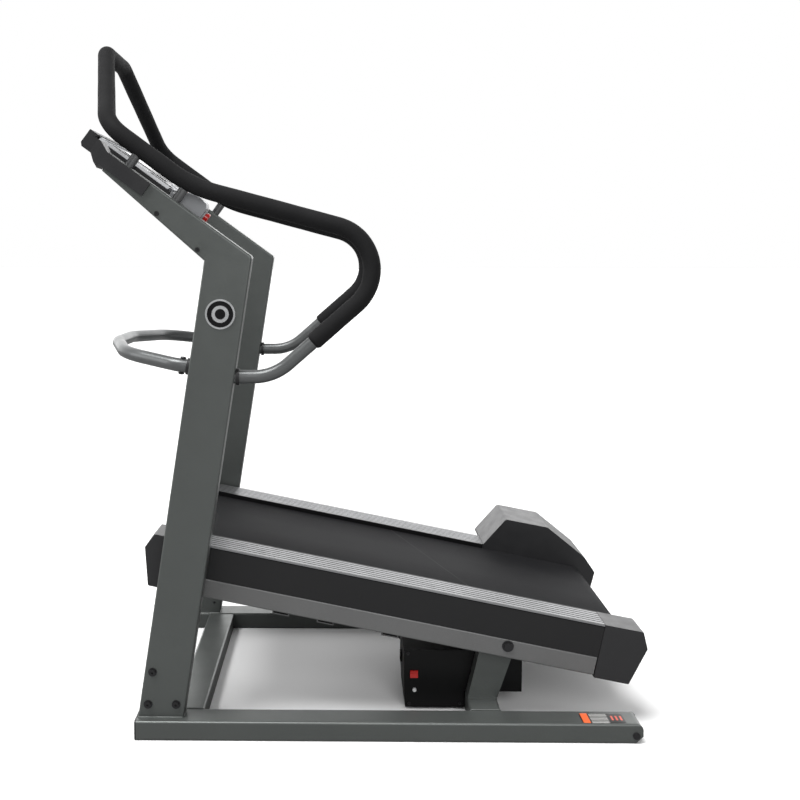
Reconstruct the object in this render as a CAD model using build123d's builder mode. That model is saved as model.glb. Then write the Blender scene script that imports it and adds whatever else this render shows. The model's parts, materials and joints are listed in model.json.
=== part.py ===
from build123d import *
from math import atan2, cos, degrees, hypot, radians, sin, tan
import os

# Motorised incline treadmill. Millimetres. +X towards the rear, where the user steps on,
# -X towards the console, -Y the user's left, +Z up. The floor is Z = 0 and the origin lies
# under the middle of the whole machine.

os.makedirs("parts", exist_ok=True)

# ---------------------------------------------------------------- driving dimensions
base_width = 884.0            # outside to outside of the floor rails
base_length = 1275.0          # length of a floor rail
base_shift = 54.5             # middle of the rails, behind the origin
rail_width = 80.0
rail_height = 50.0
rail_wall = 3.0
rail_corner = 6.0
beam_width = 80.0             # cross beams between the rails
front_beam_inset = 83.0       # front of the rails to the front beam
rear_beam_inset = 345.0       # rear of the rails to the rear beam's back face

mast_width = 115.0            # front to back, square to the mast
mast_thickness = 50.0
mast_wall = 3.0
mast_lean = 8.8               # degrees, rearwards
mast_inset = 25.0             # outer face of a mast, inside the outer face of its rail
mast_corner_height = 1215.8   # rear corner where the mast turns into the arm
mast_bend_height = 1206.0     # front inner corner
arm_slope = 36.0              # degrees, rising forwards
arm_length = 425.0
arm_tip = 46.0                # depth of the arm at its front end

deck_rest_incline = 11.34     # degrees, front end up
deck_gap = 23.0               # mast to deck, each side
foot_rail_width = 104.0
belt_gap = 3.0                # foot rail to running belt
belt_thickness = 2.5
roller_radius = 42.0
roller_clearance = 0.5        # roller to the inside of the running belt
roller_level = 48.0           # roller axis above the pivot line
deck_tube_width = 40.0
deck_tube_height = 49.5
deck_tube_drop = 32.0         # underside of the side tubes below the pivot line
foot_rail_top = 105.0
board_thickness = 18.0
pivot_height = 213.5
pivot_inset = 327.2           # rear end of the rails to the pivot
pivot_pin_radius = 10.0
running_clearance = 0.05      # radial, pins and bearings
front_roller_setback = 389.0  # rail length less this is pivot to front roller
rear_roller_reach = 272.0     # pivot to rear roller, along the deck

handle_radius = 17.0
handle_wall = 2.5
foam_radius = 22.3
loop_height = 943.0
handle_height = 918.0

fit = 0.3                     # gap between pieces that only sit beside each other
screw_gap = 0.3

# ---------------------------------------------------------------- derived places
rail_front = base_shift - base_length / 2
rail_rear = base_shift + base_length / 2
rail_outer = base_width / 2
rail_inner = rail_outer - rail_width
mast_outer = rail_outer - mast_inset
mast_inner = mast_outer - mast_thickness
mast_middle = (mast_outer + mast_inner) / 2
deck_half = mast_inner - deck_gap
foot_rail_inner = deck_half - foot_rail_width
belt_half = foot_rail_inner - belt_gap
tube_inner = deck_half - deck_tube_width
tube_top = deck_tube_height - deck_tube_drop
pivot_x = rail_rear - pivot_inset
front_roller_u = front_roller_setback - base_length
belt_outer_radius = roller_radius + roller_clearance + belt_thickness
belt_top = roller_level + belt_outer_radius
board_top = belt_top - belt_thickness - fit
board_bottom = board_top - board_thickness
rear_beam_rear = rail_rear - rear_beam_inset
rear_beam_front = rear_beam_rear - beam_width
lean_rate = tan(radians(mast_lean))
mast_foot_x = rail_front + 1.1
mast_run = mast_width / cos(radians(mast_lean))


def mast_front(z):
    """X of the mast's front face at height z."""
    return mast_foot_x + (z - rail_height) * lean_rate


def mast_rear(z):
    """X of the mast's rear face at height z."""
    return mast_front(z) + mast_run


arm_cos = cos(radians(arm_slope))
arm_sin = sin(radians(arm_slope))
arm_root = (mast_rear(mast_corner_height), mast_corner_height)


def arm_point(s, n):
    """X, Z of a point s along the arm's top edge from the mast's rear corner, n above it."""
    return (arm_root[0] - s * arm_cos + n * arm_sin, arm_root[1] + s * arm_sin + n * arm_cos)


def side_plane(y):
    """Plane whose sketch axes are X and Z, at Y = y; extrusions go towards -Y."""
    return Plane.XZ.offset(-y)


def deck_plane(y):
    """Plane of the deck at Y = y: sketch x runs rearwards along the deck, sketch y is its normal."""
    tilt = radians(deck_rest_incline)
    return Plane(origin=(pivot_x, y, pivot_height), x_dir=(cos(tilt), 0, -sin(tilt)), z_dir=(0, -1, 0))


def arm_plane(y):
    """Plane of the arm at Y = y: sketch x runs up the arm, sketch y is its normal; extrudes to +Y."""
    return Plane(origin=(arm_root[0], y, arm_root[1]), x_dir=(-arm_cos, 0, arm_sin), z_dir=(0, 1, 0))


def save(builder, name):
    """Label a finished piece and write it."""
    builder.part.label = name
    export_step(builder.part, f"parts/{name}.step")


SIDES = ((-1, "left"), (1, "right"))


def y_high(side, inner, outer):
    """Highest Y of a slab between |Y| = inner and outer on one side."""
    return outer if side > 0 else -inner


def outline(points):
    """Closed face through the points, for use inside a sketch."""
    with BuildSketch() as shape:
        with BuildLine():
            Polyline(*points, close=True)
        make_face()
    return shape.sketch


# ---------------------------------------------------------------- floor rails
wheel_radius = 19.5
wheel_width = 56.0
wheel_axle_radius = 5.0
wheel_axle_z = 21.0
wheel_axle_x = rail_rear - 17.5
wheel_slot = 46.0
rail_nose_round = 16.0
rail_nose_chamfer = 19.0
rail_y = rail_outer - rail_width / 2
plug_thickness = 4.0
plug_depth = 25.0

for side, word in SIDES:
    with BuildPart() as base_rail:
        with BuildSketch(Plane.YZ.offset(rail_front)):
            with Locations((side * rail_y, rail_height / 2)):
                RectangleRounded(rail_width, rail_height, rail_corner)
                RectangleRounded(
                    rail_width - 2 * rail_wall,
                    rail_height - 2 * rail_wall,
                    rail_corner - rail_wall,
                    mode=Mode.SUBTRACT,
                )
        extrude(amount=base_length)
        # the rear end is rounded above and cut away below, round the transport wheel
        with BuildSketch(side_plane(side * rail_y + rail_width / 2)):
            with BuildLine():
                Polyline(
                    (rail_rear + 1, -1),
                    (rail_rear - rail_nose_chamfer - 1, -1),
                    (rail_rear, rail_nose_chamfer),
                    (rail_rear, rail_height - rail_nose_round),
                )
                RadiusArc(
                    (rail_rear, rail_height - rail_nose_round),
                    (rail_rear - rail_nose_round, rail_height),
                    -rail_nose_round,
                )
                Polyline(
                    (rail_rear - rail_nose_round, rail_height),
                    (rail_rear - rail_nose_round, rail_height + 1),
                    (rail_rear + 1, rail_height + 1),
                    (rail_rear + 1, -1),
                )
            make_face()
        extrude(amount=rail_width, mode=Mode.SUBTRACT)
        slot_place = (rail_rear - wheel_slot / 2, side * rail_y, 0)
        with Locations(slot_place):
            Box(wheel_slot, rail_width - 2 * rail_wall, 4 * rail_wall, mode=Mode.SUBTRACT)
        with BuildSketch(side_plane(side * rail_y + rail_width)):
            with Locations((wheel_axle_x, wheel_axle_z)):
                Circle(wheel_axle_radius + screw_gap)
        extrude(amount=2 * rail_width, mode=Mode.SUBTRACT)
    save(base_rail, f"base_rail_{word}")

with BuildPart() as rail_end_plugs:
    for side, word in SIDES:
        with BuildSketch(Plane.YZ.offset(rail_front - plug_thickness)):
            with Locations((side * rail_y, rail_height / 2)):
                RectangleRounded(rail_width, rail_height, rail_corner)
        extrude(amount=plug_thickness - 0.1)
        with BuildSketch(Plane.YZ.offset(rail_front - 0.2)):
            with Locations((side * rail_y, rail_height / 2)):
                Rectangle(rail_width - 2 * rail_wall - 2, rail_height - 2 * rail_wall - 2)
                Rectangle(
                    rail_width - 4 * rail_wall - 2,
                    rail_height - 4 * rail_wall - 2,
                    mode=Mode.SUBTRACT,
                )
        extrude(amount=plug_depth)
save(rail_end_plugs, "rail_end_plugs")

# ---------------------------------------------------------------- cross beams
with BuildPart() as base_cross_beams:
    for beam_x in (rail_front + front_beam_inset, rear_beam_front):
        with BuildSketch(side_plane(rail_inner)):
            with Locations((beam_x + beam_width / 2, rail_height / 2)):
                RectangleRounded(beam_width, rail_height, rail_corner)
                RectangleRounded(
                    beam_width - 2 * rail_wall,
                    rail_height - 2 * rail_wall,
                    rail_corner - rail_wall,
                    mode=Mode.SUBTRACT,
                )
        extrude(amount=2 * rail_inner)
save(base_cross_beams, "base_cross_beams")

# ---------------------------------------------------------------- transport wheels
axle_head_radius = 9.0
axle_head = 4.0

for side, word in SIDES:
    with BuildPart() as transport_wheel:
        with BuildSketch(side_plane(side * rail_y + wheel_width / 2)):
            with Locations((wheel_axle_x, wheel_axle_z)):
                Circle(wheel_radius)
                Circle(wheel_axle_radius + running_clearance, mode=Mode.SUBTRACT)
        extrude(amount=wheel_width)
        chamfer(transport_wheel.edges().filter_by(GeomType.CIRCLE).group_by(Edge.length)[-1], length=2)
    save(transport_wheel, f"transport_wheel_{word}")

with BuildPart() as wheel_axles:
    for side, word in SIDES:
        outer_face = side * rail_outer
        inner_face = side * rail_inner
        for face_y, way, length in (
            (outer_face, -side, rail_width + axle_head),
            (outer_face, side, axle_head),
        ):
            head = way == side
            with BuildSketch(Plane(origin=(wheel_axle_x, face_y, wheel_axle_z), z_dir=(0, way, 0))):
                Circle(axle_head_radius if head else wheel_axle_radius)
            extrude(amount=length)
        with BuildSketch(Plane(origin=(wheel_axle_x, inner_face, wheel_axle_z), z_dir=(0, -side, 0))):
            RegularPolygon(axle_head_radius, 6)
        extrude(amount=axle_head)
save(wheel_axles, "wheel_axles")

# ---------------------------------------------------------------- masts with their arms
mast_edge_round = 5.0
bolt_radius = 4.0
mast_bolt_places = (
    (mast_front(168.6) + 20.8, 168.6),
    (mast_front(84.5) + 21.2, 84.5),
    (mast_front(84.5) + 92.5, 84.5),
)
arm_screw_places = (arm_point(118.0, -65.0), arm_point(249.0, -52.0))
mast_outline = (
    (mast_front(rail_height), rail_height),
    (mast_rear(rail_height), rail_height),
    arm_root,
    arm_point(arm_length, 0),
    arm_point(arm_length - 8, -arm_tip),
    (mast_front(mast_bend_height), mast_bend_height),
)
cavity_foot = rail_height - 20
mast_cavity = (
    (mast_front(cavity_foot), cavity_foot),
    (mast_rear(cavity_foot), cavity_foot),
) + mast_outline[2:]
loop_tilt = radians(mast_lean)


def loop_plane():
    """Plane of the front loop bar: sketch x runs forwards and up from the mast's front face, square
    to the mast; sketch y is the machine's -Y."""
    return Plane(
        origin=(mast_front(loop_height), 0, loop_height),
        x_dir=(-cos(loop_tilt), 0, sin(loop_tilt)),
        z_dir=(sin(loop_tilt), 0, cos(loop_tilt)),
    )


for side, word in SIDES:
    with BuildPart() as mast:
        high = y_high(side, mast_inner, mast_outer)
        with BuildSketch(side_plane(high)):
            with BuildLine():
                Polyline(*mast_outline, close=True)
            make_face()
        extrude(amount=mast_thickness)
        corner_edges = mast.edges().filter_by(Axis.Y)
        fillet(corner_edges.sort_by_distance((arm_root[0], high, arm_root[1]))[0], radius=10)
        long_edges = mast.faces().filter_by(Axis.Y).edges()
        fillet(long_edges.filter_by(lambda e: e.center().Z > rail_height + 1), radius=mast_edge_round)
        with BuildSketch(side_plane(high - mast_wall)):
            with BuildLine():
                Polyline(*mast_cavity, close=True)
            make_face()
            offset(amount=-mast_wall - 0.5, kind=Kind.INTERSECTION)
        extrude(amount=mast_thickness - 2 * mast_wall, mode=Mode.SUBTRACT)
        outer_y = side * mast_outer
        for place in mast_bolt_places:
            with BuildSketch(side_plane(mast_middle * side + mast_thickness)):
                with Locations(place):
                    Circle(bolt_radius + screw_gap)
            extrude(amount=2 * mast_thickness, mode=Mode.SUBTRACT)
        for place in arm_screw_places:
            with BuildSketch(Plane(origin=(place[0], outer_y + side, place[1]), z_dir=(0, -side, 0))):
                Circle(2.5 + screw_gap)
            extrude(amount=mast_wall + 3, mode=Mode.SUBTRACT)
        # the handlebar and the loop bar pass through the rear and front walls
        hand_hole = Plane(
            origin=(mast_rear(handle_height) - 40, side * mast_middle, handle_height), z_dir=(1, 0, 0)
        )
        with BuildSketch(hand_hole):
            Circle(handle_radius + fit)
        extrude(amount=80, mode=Mode.SUBTRACT)
        loop_hole = Plane(
            origin=(mast_front(loop_height), side * mast_middle, loop_height),
            z_dir=(-cos(loop_tilt), 0, sin(loop_tilt)),
        )
        with BuildSketch(loop_hole.offset(-30)):
            Circle(handle_radius + fit)
        extrude(amount=60, mode=Mode.SUBTRACT)
    save(mast, f"mast_{word}")

# spigots stand on the rails inside the hollow masts and take the mast bolts
spigot_height = 150.0
spigot_gap = 0.5
spigot_top = rail_height + spigot_height
with BuildPart() as mast_spigots:
    for side, word in SIDES:
        high = y_high(side, mast_inner, mast_outer) - mast_wall - spigot_gap
        wide = mast_thickness - 2 * (mast_wall + spigot_gap)
        inset = mast_wall + 0.5 + 2 * spigot_gap
        with BuildSketch(side_plane(high)):
            with BuildLine():
                Polyline(
                    (mast_front(rail_height) + inset, rail_height),
                    (mast_rear(rail_height) - inset, rail_height),
                    (mast_rear(spigot_top) - inset, spigot_top),
                    (mast_front(spigot_top) + inset, spigot_top),
                    close=True,
                )
            make_face()
        extrude(amount=wide)
        with BuildSketch(side_plane(high - mast_wall)):
            with BuildLine():
                Polyline(
                    (mast_front(rail_height) + 2 * inset, rail_height),
                    (mast_rear(rail_height) - 2 * inset, rail_height),
                    (mast_rear(spigot_top) - 2 * inset, spigot_top),
                    (mast_front(spigot_top) + 2 * inset, spigot_top),
                    close=True,
                )
            make_face()
        extrude(amount=wide - 2 * mast_wall, mode=Mode.SUBTRACT)
        for place in mast_bolt_places:
            with BuildSketch(side_plane(mast_middle * side + mast_thickness)):
                with Locations(place):
                    Circle(bolt_radius + screw_gap)
            extrude(amount=2 * mast_thickness, mode=Mode.SUBTRACT)
save(mast_spigots, "mast_spigots")

# ---------------------------------------------------------------- mast bolts, screws and badges
washer_radius = 11.0
washer = 2.0
bolt_head_radius = 7.5
bolt_head = 5.0


def screw(head_radius, head, rim_radius, rim, shank_radius, shank, key):
    """Button-head screw with its washer, seated on Z = 0 with its head up and its shank down."""
    with BuildPart() as one:
        with BuildSketch():
            Circle(rim_radius)
        extrude(amount=rim)
        with BuildSketch(Plane.XY.offset(rim)):
            Circle(head_radius)
        extrude(amount=head)
        with BuildSketch():
            Circle(shank_radius)
        extrude(amount=-shank)
        with BuildSketch(Plane.XY.offset(rim + head)):
            RegularPolygon(key, 6)
        extrude(amount=-head * 0.6, mode=Mode.SUBTRACT)
    return one.part


def side_seat(place, y, out):
    """Location of a seat at X, Z = place and Y = y, facing out (+1 or -1) along Y."""
    return Location(Plane(origin=(place[0], y, place[1]), x_dir=(1, 0, 0), z_dir=(0, out, 0)))


mast_bolt = screw(
    bolt_head_radius, bolt_head, washer_radius, washer, bolt_radius, mast_thickness - mast_wall, 3.5
)
with BuildPart() as mast_bolts:
    for side, word in SIDES:
        for place in mast_bolt_places:
            with Locations(side_seat(place, side * mast_outer, side)):
                add(mast_bolt)
save(mast_bolts, "mast_bolts")

badge_radius = 37.0
badge_thickness = 3.0
badge_height = 1075.0
badge_x = mast_front(badge_height) + 59.0
with BuildPart() as mast_badges:
    for side, word in SIDES:
        face = Plane(origin=(badge_x, side * mast_outer, badge_height), z_dir=(0, side, 0))
        with BuildSketch(face):
            Circle(badge_radius)
        extrude(amount=badge_thickness)
        with BuildSketch(face.offset(badge_thickness)):
            Circle(badge_radius - 5)
        extrude(amount=-1, mode=Mode.SUBTRACT)
save(mast_badges, "mast_badges")

# ---------------------------------------------------------------- handlebar
handle_start = 22.0           # how far the bar's ends reach into the masts
handle_end_x = mast_rear(handle_height)
loop_half_top = 111.4         # half the width of the loop's top, corner to corner
bend_low = (handle_end_x + 95.6, handle_height)
bend_rear = (handle_end_x + 458.9, handle_height + 319.4)
bend_mid = arm_point(221.0, 50.9)
bend_front = arm_point(476.7, 51.6)
bend_top = (arm_root[0] - 416.2, arm_root[1] + 542.6)
bend_radii = (129.0, 112.0, 330.0, 85.0, 50.0)
foam_share = 0.27             # part of the rising run that stays bare
foam_gap = 0.15


def handle_points(start):
    """Corner points of the handlebar, from one end to the other, starting at X, Z = start."""
    left = [start, bend_rear, bend_mid, bend_front]
    points = [(p[0], -mast_middle, p[1]) for p in left]
    points.append((bend_top[0], -loop_half_top, bend_top[1]))
    mirrored = [(p[0], -p[1], p[2]) for p in reversed(points)]
    return points + mirrored


tube_points = handle_points(bend_low)
first = (handle_end_x - handle_start, -mast_middle, handle_height)
last = (handle_end_x - handle_start, mast_middle, handle_height)
tube_points = [first] + tube_points + [last]
tube_radii = list(bend_radii) + list(reversed(bend_radii))

with BuildPart() as handlebar_tube:
    with BuildLine():
        FilletPolyline(*tube_points, radius=tube_radii)
    with BuildSketch(Plane(origin=first, z_dir=(1, 0, 0))):
        Circle(handle_radius)
        Circle(handle_radius - handle_wall, mode=Mode.SUBTRACT)
    sweep()
save(handlebar_tube, "handlebar_tube")

foam_start = (
    bend_low[0] + foam_share * (bend_rear[0] - bend_low[0]),
    bend_low[1] + foam_share * (bend_rear[1] - bend_low[1]),
)
foam_points = handle_points(foam_start)
foam_radii = list(bend_radii[1:]) + list(reversed(bend_radii[1:]))
standoff_radius = 12.0
standoff_places = (233.0, 374.5)
standoff_top = 51.0 - handle_radius - 0.2

with BuildPart() as foam_grips:
    with BuildLine():
        FilletPolyline(*foam_points, radius=foam_radii)
    run = (bend_rear[0] - bend_low[0], 0, bend_rear[1] - bend_low[1])
    with BuildSketch(Plane(origin=foam_points[0], z_dir=run)):
        Circle(foam_radius)
        Circle(handle_radius + foam_gap, mode=Mode.SUBTRACT)
    sweep()
    for side, word in SIDES:
        for s in standoff_places:
            spot = arm_point(s, 0)
            with BuildSketch(
                Plane(origin=(spot[0], side * mast_middle, spot[1]), z_dir=(arm_sin, 0, arm_cos))
            ):
                Circle(standoff_radius + fit)
            extrude(amount=standoff_top + 3, mode=Mode.SUBTRACT)
save(foam_grips, "foam_grips")

with BuildPart() as handle_standoffs:
    for side, word in SIDES:
        for s in standoff_places:
            spot = arm_point(s, 0)
            seat = Plane(origin=(spot[0], side * mast_middle, spot[1]), z_dir=(arm_sin, 0, arm_cos))
            with BuildSketch(seat):
                Circle(standoff_radius)
            extrude(amount=standoff_top)
save(handle_standoffs, "handle_standoffs")

socket_radius = 21.0
socket_length = 8.0
with BuildPart() as handle_sockets:
    for side, word in SIDES:
        lean_skew = socket_radius * lean_rate
        with BuildSketch(
            Plane(origin=(handle_end_x + lean_skew, side * mast_middle, handle_height), z_dir=(1, 0, 0))
        ):
            Circle(socket_radius)
            Circle(handle_radius + fit, mode=Mode.SUBTRACT)
        extrude(amount=socket_length)
save(handle_sockets, "handle_sockets")

# ---------------------------------------------------------------- front loop bar
loop_reach = 244.0            # mast front face to the middle of the bar's front run
loop_shoulder = (177.0, 318.0 / 392.0)
loop_front_half = 95.0
loop_bolt_radius = 4.0
loop_bolt_at = 19.0           # in front of the mast, through the bar
loop_stub = 36.0
loop_radii = (60.0, 150.0, 150.0, 150.0, 150.0, 60.0)
half_loop = (
    (-25.0, mast_middle),
    (loop_stub, mast_middle),
    (loop_shoulder[0], loop_shoulder[1] * mast_middle),
    (loop_reach, loop_front_half),
)
loop_corner_points = half_loop + tuple((a, -b) for a, b in reversed(half_loop))

with BuildPart() as front_loop_bar:
    with BuildLine(loop_plane()) as loop_line:
        FilletPolyline(*loop_corner_points, radius=list(loop_radii))
    with BuildSketch(Plane(origin=loop_line.line @ 0, z_dir=loop_line.line % 0)):
        Circle(handle_radius)
        Circle(handle_radius - handle_wall, mode=Mode.SUBTRACT)
    sweep()
    with BuildSketch(loop_plane().offset(-2 * handle_radius)):
        with Locations((loop_bolt_at, mast_middle), (loop_bolt_at, -mast_middle)):
            Circle(loop_bolt_radius + screw_gap)
    extrude(amount=4 * handle_radius, mode=Mode.SUBTRACT)
save(front_loop_bar, "front_loop_bar")

collar_length = 7.0
collar_start = 0.2
loop_head_radius = 7.5
loop_head = 5.0
with BuildPart() as loop_sockets:
    for side, word in SIDES:
        seat = Plane(
            origin=(mast_front(loop_height), side * mast_middle, loop_height),
            z_dir=(-cos(loop_tilt), 0, sin(loop_tilt)),
        )
        with BuildSketch(seat.offset(collar_start)):
            Circle(socket_radius)
            Circle(handle_radius + fit, mode=Mode.SUBTRACT)
        extrude(amount=collar_length)
save(loop_sockets, "loop_sockets")

# each loop bolt crosses the bar from below to above, with a domed head at both ends
with BuildPart() as loop_bolts:
    for side, word in SIDES:
        with BuildSketch(loop_plane().offset(-handle_radius - 1)):
            with Locations((loop_bolt_at, side * mast_middle)):
                Circle(loop_bolt_radius)
        extrude(amount=2 * handle_radius + 2)
        for way in (-1, 1):
            with BuildSketch(loop_plane().offset(way * (handle_radius + fit))):
                with Locations((loop_bolt_at, side * mast_middle)):
                    Circle(loop_head_radius)
            extrude(amount=way * loop_head)
    fillet(
        [edge for edge in loop_bolts.edges().filter_by(GeomType.CIRCLE)
         if abs(edge.radius - loop_head_radius) < 0.01
         and abs(loop_plane().to_local_coords(edge.center()).Z) > handle_radius + loop_head - 1],
        radius=loop_head - 1.5,
    )
save(loop_bolts, "loop_bolts")

# ---------------------------------------------------------------- console
console_half = mast_inner - 5.0
console_wall = 3.0
console_bottom = -30.0
console_top = 8.0
console_low = 262.0           # along the arm: lower end of the display housing
console_high = 511.0
lip_height = 17.0
lip_low = 490.0
boss_radius = 9.0
boss_places = (290.0, 400.0)     # along the arm

with BuildPart() as console_shell:
    with BuildSketch(arm_plane(-console_half)):
        with BuildLine():
            Polyline(
                (console_low, console_bottom),
                (console_high - 6, console_bottom),
                (console_high + 1, console_bottom + 8),
                (console_high, lip_height),
                (lip_low, lip_height),
                (lip_low, console_top),
                (console_low, console_top),
                close=True,
            )
        make_face()
    extrude(amount=2 * console_half)
    with BuildSketch(arm_plane(-console_half + console_wall)):
        with BuildLine():
            Polyline(
                (console_low + console_wall, console_bottom + console_wall),
                (lip_low - console_wall, console_bottom + console_wall),
                (lip_low - console_wall, console_top + 1),
                (console_low + console_wall, console_top + 1),
                close=True,
            )
        make_face()
    extrude(amount=2 * (console_half - console_wall), mode=Mode.SUBTRACT)
    # bosses reach the inner faces of the arms
    for side, word in SIDES:
        for s in boss_places:
            spot = arm_point(s, -14)
            with BuildSketch(Plane(origin=(spot[0], side * console_half, spot[1]), z_dir=(0, side, 0))):
                Circle(boss_radius)
            extrude(amount=mast_inner - console_half)
save(console_shell, "console_shell")

# pod at the console's lower left end, which holds the emergency stop
pod_low = 165.0
pod_wall = 3.0
pod_top = 40.0
pod_width = 58.0              # from its outer end towards the middle
pod_half = console_half - 4.0
e_stop_y = -(pod_half - 24.0)
e_stop_level = 6.0
stop_radius = 11.0
stop_ring = 15.0
control_gap = 0.6
stop_out = (arm_cos, 0, -arm_sin)


def stop_plane(out):
    """Plane square to the emergency stop's axis, out millimetres in front of the pod."""
    spot = arm_point(pod_low - out, e_stop_level)
    return Plane(origin=(spot[0], e_stop_y, spot[1]), x_dir=(0, 1, 0), z_dir=stop_out)


with BuildPart() as e_stop_pod:
    pod_points = (
        (console_low - fit, console_bottom),
        (console_low - fit, 9.0),
        (pod_low + 74, 13.0),
        (pod_low + 61, pod_top - 8),
        (pod_low + 43, pod_top - 2),
        (pod_low + 26, pod_top),
        (pod_low + 8, pod_top - 4),
        (pod_low, pod_top - 14),
        (pod_low, -12.0),
        (pod_low + 12, console_bottom),
    )
    with BuildSketch(arm_plane(-pod_half)) as pod_profile:
        with BuildLine():
            Polyline(*pod_points, close=True)
        make_face()
        fillet(pod_profile.vertices(), radius=pod_wall)
    extrude(amount=pod_width)
    ends = e_stop_pod.faces().filter_by(Axis.Y)
    fillet(ends.edges(), radius=pod_wall - 0.4)
    with BuildSketch(arm_plane(-pod_half + pod_wall)):
        with BuildLine():
            Polyline(*pod_points, close=True)
        make_face()
        offset(amount=-pod_wall, kind=Kind.INTERSECTION)
    extrude(amount=pod_width - 2 * pod_wall, mode=Mode.SUBTRACT)
    with BuildSketch(stop_plane(1)):
        Circle(stop_radius + control_gap)
    extrude(amount=-pod_wall - 4, mode=Mode.SUBTRACT)
save(e_stop_pod, "e_stop_pod")

# display housing's lid: a plate with a raised light border, a display and ribbed grilles
fascia_thickness = 4.0
fascia_half = console_half - 28.0
fascia_edge = console_half - 4.0  # foot of the sloped end panels
fascia_low = console_low + 2.0
fascia_high = lip_low - 1.0
lens_width = 330.0
lens_low = 318.0
lens_high = 458.0
grille_inner = 200.0
grille_outer = 320.0
grille_spans = ((280.0, 356.0), (396.0, 470.0))
grille_rib = 4.0
grille_pitch = 9.0
key_radius = 11.0
key_stem = 7.0
key_s = 292.0
key_places = (("start_button", -34.0), ("stop_button", 34.0))
rocker_length = 36.0
rocker_width = 16.0
rocker_places = (("speed_rocker", -120.0), ("incline_rocker", 120.0))


def on_fascia(s, y, n):
    """Plane on the console at s up the arm, at Y = y and height n, facing out of the fascia."""
    spot = arm_point(s, n)
    return Plane(origin=(spot[0], y, spot[1]), x_dir=(-arm_cos, 0, arm_sin), z_dir=(arm_sin, 0, arm_cos))


fascia_mid = (fascia_low + fascia_high) / 2
fascia_border = 8.0
border_height = 3.0
fascia_corner = 8.0
fascia_base = console_top + 0.1
with BuildPart() as console_fascia:
    with BuildSketch(on_fascia(fascia_mid, 0, fascia_base)):
        RectangleRounded(fascia_high - fascia_low, 2 * fascia_half, fascia_corner)
    extrude(amount=fascia_thickness)
    with BuildSketch(on_fascia(fascia_mid, 0, fascia_base + fascia_thickness)):
        RectangleRounded(fascia_high - fascia_low, 2 * fascia_half, fascia_corner)
        RectangleRounded(
            fascia_high - fascia_low - 2 * fascia_border,
            2 * (fascia_half - fascia_border),
            fascia_corner,
            mode=Mode.SUBTRACT,
        )
    extrude(amount=border_height)
    # panels slope from the border down to the housing's ends
    low_end = arm_point(fascia_low + fascia_corner, 0)
    for side, word in SIDES:
        slope_plane = Plane(
            origin=(low_end[0], 0, low_end[1]), x_dir=(0, 1, 0), z_dir=(-arm_cos, 0, arm_sin)
        )
        level = 1 if slope_plane.y_dir.Z > 0 else -1
        with BuildSketch(slope_plane):
            add(outline((
                (side * (fascia_half - 1), level * fascia_base),
                (side * fascia_edge, level * fascia_base),
                (side * fascia_edge, level * (fascia_base + 1)),
                (side * fascia_half, level * (fascia_base + fascia_thickness + border_height)),
                (side * (fascia_half - 1), level * (fascia_base + fascia_thickness + border_height)),
            )))
        extrude(amount=fascia_high - fascia_low - 2 * fascia_corner)
    with BuildSketch(on_fascia((lens_low + lens_high) / 2, 0, console_top)):
        RectangleRounded(lens_high - lens_low, lens_width, 10)
    extrude(amount=10, mode=Mode.SUBTRACT)
    for low, high in grille_spans:
        for side, word in SIDES:
            middle = side * (grille_inner + grille_outer) / 2
            with BuildSketch(on_fascia((low + high) / 2, middle, console_top)):
                RectangleRounded(high - low, grille_outer - grille_inner, 8)
            extrude(amount=10, mode=Mode.SUBTRACT)
    for name, y in key_places:
        with BuildSketch(on_fascia(key_s, y, console_top)):
            Circle(key_radius + control_gap)
        extrude(amount=10, mode=Mode.SUBTRACT)
    for name, y in rocker_places:
        with BuildSketch(on_fascia(key_s, y, console_top)):
            Rectangle(rocker_length + 2 * control_gap, rocker_width + 2 * control_gap)
        extrude(amount=10, mode=Mode.SUBTRACT)
save(console_fascia, "console_fascia")

with BuildPart() as display_lens:
    with BuildSketch(on_fascia((lens_low + lens_high) / 2, 0, console_top + 0.1)):
        RectangleRounded(lens_high - lens_low - 2 * fit, lens_width - 2 * fit, 10 - fit)
    extrude(amount=fascia_thickness + 2)
    fillet(display_lens.faces().sort_by(Axis((0, 0, 0), (arm_sin, 0, arm_cos)))[-1].edges(), radius=1.5)
save(display_lens, "display_lens")

with BuildPart() as console_grilles:
    for low, high in grille_spans:
        for side, word in SIDES:
            middle = side * (grille_inner + grille_outer) / 2
            with BuildSketch(on_fascia((low + high) / 2, middle, console_top + 0.1)):
                RectangleRounded(high - low - 2 * fit, grille_outer - grille_inner - 2 * fit, 8 - fit)
            extrude(amount=2)
            ribs = int((high - low - 16) / grille_pitch)
            with BuildSketch(on_fascia((low + high) / 2, middle, console_top + 2.1)):
                with GridLocations(grille_pitch, 1, ribs, 1):
                    Rectangle(grille_rib, grille_outer - grille_inner - 16)
            extrude(amount=3)
save(console_grilles, "console_grilles")

# keys: a round cap over a collar that keeps the key in its hole, with a stem below
key_proud = 5.0
for name, y in key_places:
    with BuildPart() as key:
        with BuildSketch(on_fascia(key_s, y, console_top - 3)):
            Circle(key_radius)
        extrude(amount=3 + fascia_thickness + key_proud)
        chamfer(key.faces().sort_by(Axis((0, 0, 0), (arm_sin, 0, arm_cos)))[-1].edges(), length=1.2)
        with BuildSketch(on_fascia(key_s, y, console_top - 3)):
            Circle(key_radius + 3)
        extrude(amount=-2)
        with BuildSketch(on_fascia(key_s, y, console_top - 5)):
            Circle(key_stem)
        extrude(amount=-8)
    save(key, name)

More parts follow.
